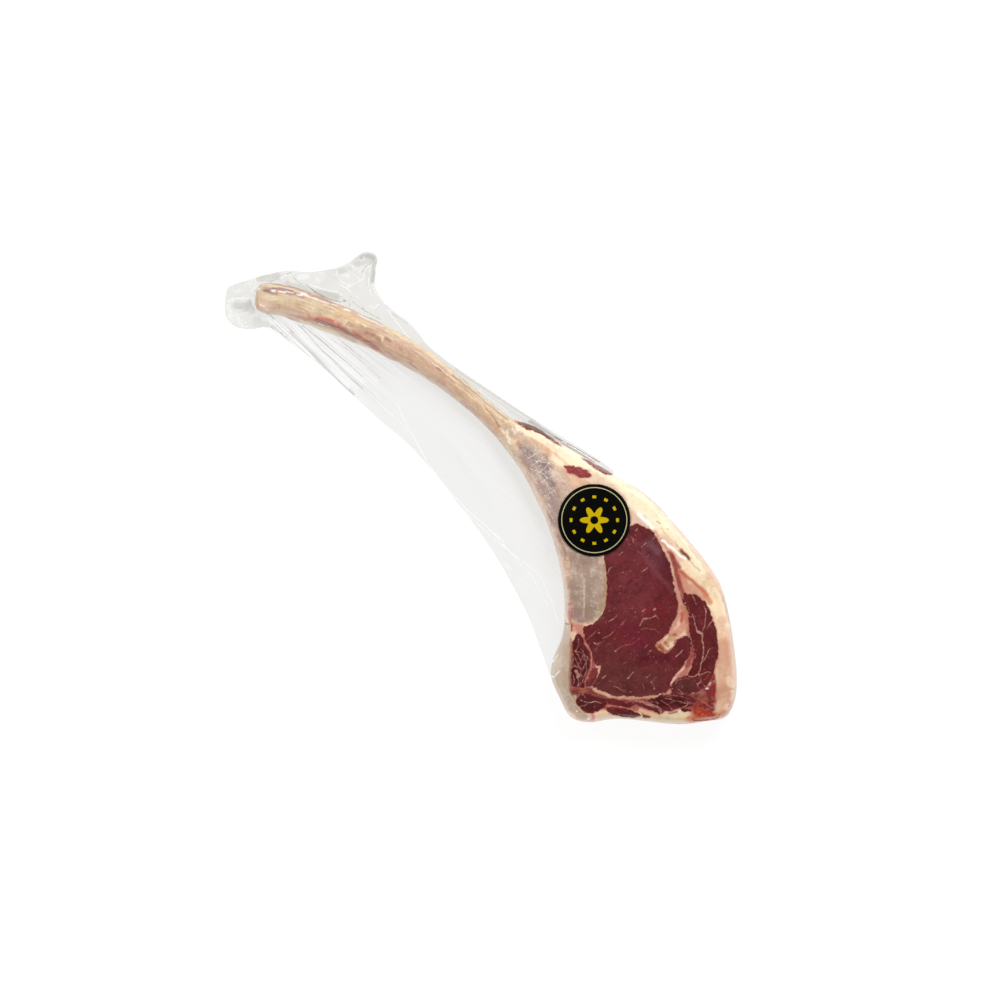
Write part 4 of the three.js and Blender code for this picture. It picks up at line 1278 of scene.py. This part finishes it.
# strokes thinner than filmShape's thin are creases
filmPaint = [
    # the web across the hollow
    ((224, 225, 221), 1.0, 70, [(500, 580), (545, 640)]),
    ((216, 217, 212), 1.0, 36, [(300, 338), (380, 405)]),
    ((216, 217, 212), 1.0, 34, [(380, 405), (450, 490), (500, 560)]),
    ((222, 222, 219), 1.0, 20, [(330, 345), (380, 372), (430, 408), (470, 445), (500, 490),
      (530, 545)]),
    # its fan of taut wrinkles, from the outer edge in, with painted highlights in bright and darker
    # lines between
    (dull, 0.7, 3.0, [(271, 325), (282, 334), (288, 338)]),
    (olive, 0.6, 1.8, [(280, 331), (286, 336)]),
    (bright, 0.9, 1.8, [(276, 327), (288, 337), (299, 345), (312, 357)]),
    (bright, 0.9, 2.0, [(273, 320), (283, 328.5), (291, 335.5), (299, 343), (306, 350),
      (314, 358.5)]),
    (dull, 0.9, 3.6, [(290, 331), (300, 340.5), (308, 348.5), (317, 357), (324, 364), (334, 374),
      (342, 383), (352, 393)]),
    (olive, 0.7, 1.5, [(283, 322), (287, 326.5), (293, 333)]),
    (bright, 1.0, 3.2, [(283, 318.5), (290, 327), (300, 337), (309, 346), (317, 353.5),
      (326, 362.5), (336, 373), (348, 385)]),
    (bright, 0.9, 3.0, [(290, 322), (300, 332), (312, 345), (326, 358), (340, 372), (356, 388)]),
    (dull, 0.85, 1.8, [(297, 323), (305.5, 332), (314, 341.5), (321.5, 350), (331, 358), (342, 369),
      (351, 378), (362, 388)]),
    (bright, 1.0, 3.4, [(302, 328), (314, 338), (330, 352), (345, 366), (362, 381)]),
    (dull, 0.85, 1.8, [(301.5, 324.5), (311, 332.5), (321.5, 340.5), (336, 353), (349, 364),
      (362, 376)]),
    (bright, 0.9, 3.6, [(314, 330), (326, 338), (340, 350), (356, 363), (376, 380)]),
    (dull, 0.6, 1.8, [(330, 338), (344, 347), (362, 362), (380, 378)]),
    (clear, 0.8, 2.4, [(346, 346), (362, 358), (378, 372)]),
    (dull, 0.5, 1.8, [(340, 340), (350, 348.5), (362, 358.5)]),
    (clear, 0.7, 2.4, [(350, 386), (366, 402), (384, 422)]),
    (bright, 0.7, 1.6, [(368, 393), (384, 408), (400, 422), (408, 433)]),
    # its long wrinkles further on
    (bright, 0.85, 1.7, [(396, 402), (406, 424), (428, 464), (448, 490), (468, 511), (504, 542)]),
    (bright, 0.8, 1.6, [(431, 469), (454, 502), (493, 539), (526, 564), (541, 577), (553, 604),
      (558, 622)]),
    (clear, 0.8, 1.8, [(484, 524), (510, 552), (532, 577), (548, 606)]),
    (bright, 0.8, 2.6, [(501, 565), (506, 566), (510, 569)]),
    (clear, 0.8, 2.4, [(506, 572), (518, 590), (530, 612)]),
    # left end
    ((190, 188, 174), 0.8, 8, [(232, 292), (246, 288)]),
    ((172, 168, 150), 0.8, 5, [(248, 302), (250, 310)]),
    (dull, 0.7, 6, [(236, 304), (244, 306)]),
    ((178, 176, 166), 0.8, 7, [(256, 321), (264, 321)]),
    (bright, 0.85, 1.8, [(228, 300), (232, 298), (240, 297), (248, 297.5)]),
    (bright, 0.9, 1.5, [(250.5, 297), (252.5, 301.5)]),
    (olive, 0.7, 1.5, [(248, 298), (249, 304), (253, 309)]),
    (bright, 0.7, 1.4, [(249, 291), (251, 288), (254, 286)]),
    (olive, 0.6, 1.3, [(251, 296), (254, 291), (255, 288)]),
    (bright, 0.6, 1.3, [(252.5, 294), (254.5, 291)]),
    (bright, 0.7, 1.8, [(231, 313), (236, 316), (240, 320)]),
    (bright, 0.7, 1.6, [(236, 321), (242, 325), (248, 326)], [(257.5, 279)]),
    (bright, 0.9, 1.7, [(243.5, 320.5), (245, 322.5)]),
    (bright, 0.7, 2.2, [(227, 305), (229, 311), (228, 316)]),
    (clear, 0.7, 2.0, [(236, 309), (243, 309)]),
    (clear, 0.8, 3.0, [(262, 317.5), (268, 318.5), (270, 322)]),
    (bright, 0.7, 1.5, [(262, 311), (267, 315), (270, 319), (274, 324)]),
    (olive, 0.8, 1.6, [(264, 312), (270, 315), (273, 318)]),
    # above the tip
    ((168, 166, 148), 0.9, 5, [(258, 277), (268, 277), (276, 275)]),
    (olive, 0.75, 1.4, [(269, 281), (275, 278), (282, 274), (290, 271.5)]),
    (bright, 0.9, 1.6, [(277, 277.5), (285, 273.5)]),
    (olive, 0.5, 1.3, [(278, 278), (281, 283)]),
    (olive, 0.45, 1.2, [(286.5, 276), (287, 281)]),
    ((170, 168, 152), 0.85, 5, [(286, 284), (300, 287), (312, 292)]),
    (olive, 0.65, 1.5, [(292, 275), (296, 280), (301, 283), (306, 284), (311, 288), (316, 292)]),
    (bright, 0.6, 1.4, [(296, 276), (299, 280)]),
    (bright, 0.8, 3.4, [(299, 276), (306, 275)]),
    (bright, 0.6, 2.2, [(316, 278), (318, 281)]),
    # above the rib's back
    (olive, 0.9, 1.7, [(310, 287), (314, 291), (322, 295), (330, 298.5), (338, 300.5), (346, 300)]),
    ((164, 162, 142), 0.9, 4.5, [(316, 291), (326, 293), (336, 296)]),
    (bright, 0.95, 1.7, [(308, 283), (316, 286), (322, 288), (330, 290), (336, 290), (341, 294)]),
    (olive, 0.6, 1.4, [(337, 291), (341, 297), (345, 300)]),
    (olive, 0.5, 1.4, [(350, 295), (348.5, 300), (349, 306)]),
    (olive, 0.65, 1.6, [(351, 300), (360, 307), (370, 313), (380, 318.5)]),
    (olive, 0.45, 1.2, [(362, 304), (363.5, 313)]),
    (clear, 0.6, 2.0, [(352, 293), (360, 298)]),
    (bright, 0.9, 1.9, [(340, 284), (346, 287), (350, 291)]),
    (bright, 0.8, 1.7, [(346, 284.5), (352, 285.5)]),
    (bright, 0.85, 1.7, [(336, 270), (337, 276), (341, 281), (348, 283.5), (356, 282), (362, 277.5),
      (364, 273)]),
    (bright, 0.9, 2.2, [(340, 274.5), (346, 272.5), (347, 275)]),
    (bright, 0.7, 1.5, [(352, 272), (356, 276), (360, 279)]),
    (bright, 0.5, 1.5, [(320, 272), (330, 272.5), (336, 275)]),
    ((168, 166, 152), 0.6, 5, [(340, 270), (348, 268)]),
    # upper end
    ((176, 172, 150), 0.9, 7, [(357, 260), (364, 258), (371, 258)]),
    ((150, 146, 120), 0.75, 3.2, [(361, 256), (366, 254), (373, 257), (375, 261)]),
    (bright, 0.8, 1.9, [(351, 264), (353.5, 266)]),
    (clear, 0.8, 2.6, [(362, 266), (360, 269)]),
    (bright, 0.8, 1.5, [(363, 273), (366, 267), (371, 263)]),
    (olive, 0.7, 1.3, [(361, 271), (365, 265.5), (372, 261.5)]),
    ((158, 156, 136), 0.85, 3.0, [(373, 264), (373, 272), (371.5, 280)]),
    (bright, 0.8, 1.5, [(369, 268), (368, 278), (368.5, 288), (371, 296)]),
    (bright, 0.8, 1.6, [(372, 283), (374, 290), (379, 297), (385, 303.5)]),
    (bright, 0.85, 1.7, [(369, 304), (371.5, 307), (375, 306), (378, 303)]),
    # towards the neck
    ((194, 191, 176), 0.9, 9, [(392, 318), (404, 330), (416, 339)]),
    (olive, 0.6, 1.5, [(391, 312), (398, 317), (407, 322.5)]),
    (bright, 1.0, 1.5, [(387, 308), (391, 315), (399, 325), (406, 334), (412, 340.5)]),
    ((186, 182, 166), 0.95, 7, [(424, 346), (460, 373), (500, 401), (530, 419)]),
    ((172, 168, 150), 0.8, 2.2, [(456, 369), (480, 385), (510, 405), (540, 424)]),
    (bright, 0.9, 1.4, [(478, 389), (488, 396.5), (500, 405), (508, 411)]),
    (clear, 0.8, 1.4, [(470, 381), (490, 394), (512, 408), (530, 420)]),
    (bright, 0.8, 1.3, [(519, 413), (526, 417.5)]),
    ((140, 126, 108), 0.7, 2.6, [(530, 421), (545, 430), (560, 440), (580, 453), (594, 462)]),
    (bright, 1.0, 1.4, [(562, 440.5), (580, 451), (592, 458.5), (602, 465.5)]),
    ((64, 44, 40), 0.95, 1.5, [(554, 436), (575, 447), (600, 462)]),
    ((120, 88, 74), 0.7, 1.3, [(562, 443), (576, 451.5), (590, 460)]),
]


def creaseField(x, y, strokes):
    # thin strokes as threads: the stronger one is, the wider
    threads = [(sRgb(*colour)[:3], threadShape["crease"] * strength * reach, *lines)
               for colour, strength, reach, *lines in strokes]
    return threadField(x, y, threads, sRgb(*bright)[:3])


def makeFilmMaterial():
    material, tree, shader = newMaterial("clearFilm")
    place = objectPlace(tree)
    tone = readColour(tree, "filmTone")
    loose = readValue(tree, "loose")
    taut = readValue(tree, "taut")
    level = addNode(tree, "ShaderNodeSeparateColor", {"Color": tone}).outputs[1]
    streaks = noise(tree, readVector(tree, "filmFlow"), 1.0, 2.0, 0.5).outputs[0]
    folds = noise(tree, place, 60.0, 3.0, 0.5).outputs[0]
    # loose film gets painted highlights on sharp folds and painted shade in its hollows, taut film
    # gets long streaks of painted highlight and painted shade
    fold = calc(tree, "ABSOLUTE", calc(tree, "SUBTRACT", folds, 0.5))
    shine = calc(tree, "MULTIPLY", ramp(tree, fold, 0.018, 0.0), loose)
    shade = calc(tree, "MULTIPLY", ramp(tree, folds, 0.53, 0.62), loose)
    bands = calc(tree, "MULTIPLY", ramp(tree, streaks, 0.48, 0.38, 0.0, 0.55), taut)
    ridges = calc(tree, "MULTIPLY", ramp(tree, streaks, 0.50, 0.60, 0.0, 0.65), taut)
    dimmed = blend(tree, bands, tone, sRgb(140, 140, 126))
    lit = blend(tree, ridges, dimmed, sRgb(252, 252, 249))
    shaded = blend(tree, calc(tree, "MULTIPLY", shade, 0.45), lit, sRgb(132, 128, 104))
    shone = blend(tree, calc(tree, "MULTIPLY", shine, 0.7), shaded, sRgb(250, 250, 247))
    crease = useGroup(tree, edgeGroup, {
        "Field": readValue(tree, "crease"), "Place": place, "Ragged": 0.25, "Soft": 0.09})
    creased = blend(tree, crease.outputs[0], shone, readColour(tree, "creaseTone"))
    # painted glow: the film gives off a little light of its own, though it is no lamp, so that the
    # bone's shadow doesn't dull it
    deep = blend(tree, 1.0, creased, sRgb(160, 160, 160), "MULTIPLY")
    tree.links.new(deep, shader.inputs["Base Color"])
    # dark tones hide more of what is under them, and bright creases hide less
    facing = addNode(tree, "ShaderNodeLayerWeight", {"Blend": 0.2}).outputs["Facing"]
    body = calc(tree, "ADD", ramp(tree, level, 0.60, 0.08, 0.17, 0.50),
                calc(tree, "MULTIPLY", facing, 0.12))
    creaseLevel = addNode(tree, "ShaderNodeSeparateColor",
                          {"Color": readColour(tree, "creaseTone")}).outputs[1]
    change = calc(tree, "MULTIPLY", crease.outputs[0],
                  ramp(tree, creaseLevel, 0.15, 0.70, 0.35, -0.12))
    banded = calc(tree, "MULTIPLY_ADD", bands, 0.30, calc(tree, "ADD", body, change))
    strength = calc(tree, "MULTIPLY_ADD", ridges, -0.12, banded)
    tree.links.new(strength, shader.inputs["Alpha"])
    height = calc(tree, "MULTIPLY_ADD", folds, loose, calc(tree, "MULTIPLY", streaks, 0.3))
    bump = addNode(tree, "ShaderNodeBump", {"Height": height, "Distance": 0.0015,
                                            "Strength": 0.6})
    tree.links.new(bump.outputs[0], shader.inputs["Normal"])
    # the painted glow, in the film's own colours
    tree.links.new(creased, shader.inputs["Emission Color"])
    shader.inputs["Emission Strength"].default_value = 0.50
    shader.inputs["Roughness"].default_value = 0.16
    shader.inputs["Specular IOR Level"].default_value = 0.6
    return material


def tautness(x, y):
    # the wrinkles fan out from the tip's lower corner: along them, across them, how strong
    dx = x - filmShape["corner"][0]
    dy = y - filmShape["corner"][1]
    turn = math.radians(filmShape["turn"])
    along = dx * math.cos(turn) + dy * math.sin(turn)
    across = dx * math.sin(turn) - dy * math.cos(turn)
    opened = across / (1 + filmShape["fan"] * np.maximum(along, 0))
    return along, opened, np.clip(1.15 - along / filmShape["pull"], 0.03, 1)


def thinnedFilm(film):
    # the sheet's points drawn in towards its middle height, the rim's with them
    tree = solidTree([film])
    points = readVertices(film)
    inward = points[:, :2] - readVertices(film, "normal")[:, :2] * filmShape["inward"] * mm
    for point, (x, y) in zip(points, inward):
        over = tree.ray_cast(Vector((x, y, 0.2)), Vector((0, 0, -1)))[0]
        under = tree.ray_cast(Vector((x, y, -0.2)), Vector((0, 0, 1)))[0]
        if over is not None and under is not None:
            middle = (over.z + under.z) / 2
            point[2] = middle + (point[2] - middle) * filmShape["thinness"]
    return points


def makeFilm():
    film = copyNodes("film", "bag")
    points = readVertices(film)
    normals = readVertices(film, "normal")
    points[:, :2] += normals[:, :2] * filmShape["widen"] * mm
    points[:, 2] += np.sign(normals[:, 2]) * filmShape["grow"] * mm
    writePoints(film, points)
    remesh(film, filmShape["voxel"], 4)
    points = thinnedFilm(film)
    writePoints(film, points)
    x, y = drawnPlaces(points)
    broad = [stroke for stroke in filmPaint if stroke[2] >= filmShape["thin"]]
    thin = [stroke for stroke in filmPaint if stroke[2] < filmShape["thin"]]
    storeColour(film, "filmTone", paintStrokes(x, y, filmBase, broad))
    field, tones = creaseField(x, y, thin)
    storeValue(film, "crease", field)
    storeColour(film, "creaseTone", tones)
    along, opened, strength = tautness(x, y)
    storeVector(film, "filmFlow", np.stack([along, opened, 0 * x], axis=1) / filmShape["flow"])
    left = filmShape["corner"][0]
    edgeX, edgeY, slope = filmShape["webEdge"]
    inWeb = np.clip((y - edgeY - slope * (x - edgeX)) / 8, 0, 1)
    inWeb *= np.clip((x - left) / 10, 0, 1)
    storeValue(film, "taut", strength * inWeb)
    pastTip = np.maximum(left - x, filmShape["backEdge"] - y) / filmShape["fade"]
    storeValue(film, "loose", np.clip(pastTip, 0, 1))
    finishPiece(film, makeFilmMaterial(), "film", "bag")


makeFilm()


# label: radii in millimetres

labelDesign = {"ring": (25.9, 0.32), "petals": 6, "petalTip": 11.5, "petalRoot": 5.5, "core": 3.2,
               "dotRing": (18.5, 1.1), "dots": 12, "dotGap": 0.55,
               "ink": (3, 4, 3), "print": (190, 162, 4), "line": (190, 180, 134)}


def makeLabelMaterial():
    material, tree, shader = newMaterial("printedLabel")
    design = labelDesign
    x = corner.x + labelShape["centre"][0] * square
    y = corner.y - labelShape["centre"][1] * square
    centred = addNode(tree, "ShaderNodeMapping",
                      {"Vector": objectPlace(tree), "Location": (-x, -y, 0)})
    parts = addNode(tree, "ShaderNodeSeparateXYZ", {"Vector": centred.outputs[0]})
    flat = addNode(tree, "ShaderNodeCombineXYZ", {"X": parts.outputs[0], "Y": parts.outputs[1]})
    reach = addNode(tree, "ShaderNodeVectorMath", {0: flat.outputs[0]}, operation="LENGTH")
    radius = calc(tree, "DIVIDE", reach.outputs["Value"], mm)
    angle = calc(tree, "ARCTAN2", parts.outputs[1], parts.outputs[0])

    def turns(count):
        return calc(tree, "COSINE", calc(tree, "MULTIPLY", angle, float(count)))

    ring = calc(tree, "COMPARE", radius, *design["ring"])
    depth = (design["petalTip"] - design["petalRoot"]) / 2
    middle = (design["petalTip"] + design["petalRoot"]) / 2
    petals = calc(tree, "MULTIPLY_ADD", turns(design["petals"]), depth, middle)
    flower = calc(tree, "MULTIPLY", calc(tree, "LESS_THAN", radius, petals),
                  calc(tree, "GREATER_THAN", radius, design["core"]))
    dots = calc(tree, "MULTIPLY", calc(tree, "COMPARE", radius, *design["dotRing"]),
                calc(tree, "GREATER_THAN", turns(design["dots"]), design["dotGap"]))
    marks = calc(tree, "MAXIMUM", flower, dots)
    marked = blend(tree, marks, sRgb(*design["ink"]), sRgb(*design["print"]))
    printed = blend(tree, ring, marked, sRgb(*design["line"]))
    tree.links.new(printed, shader.inputs["Base Color"])
    shader.inputs["Roughness"].default_value = 0.3
    shader.inputs["Specular IOR Level"].default_value = 0.12
    return material


def makeLabel():
    piece = copyNodes("labelDisc", "label")
    remesh(piece, labelShape["voxel"], 1)
    points = readVertices(piece)
    points[:, 2] += labelShape["lift"] * mm
    writePoints(piece, points)
    finishPiece(piece, makeLabelMaterial(), "label", "label")


makeLabel()
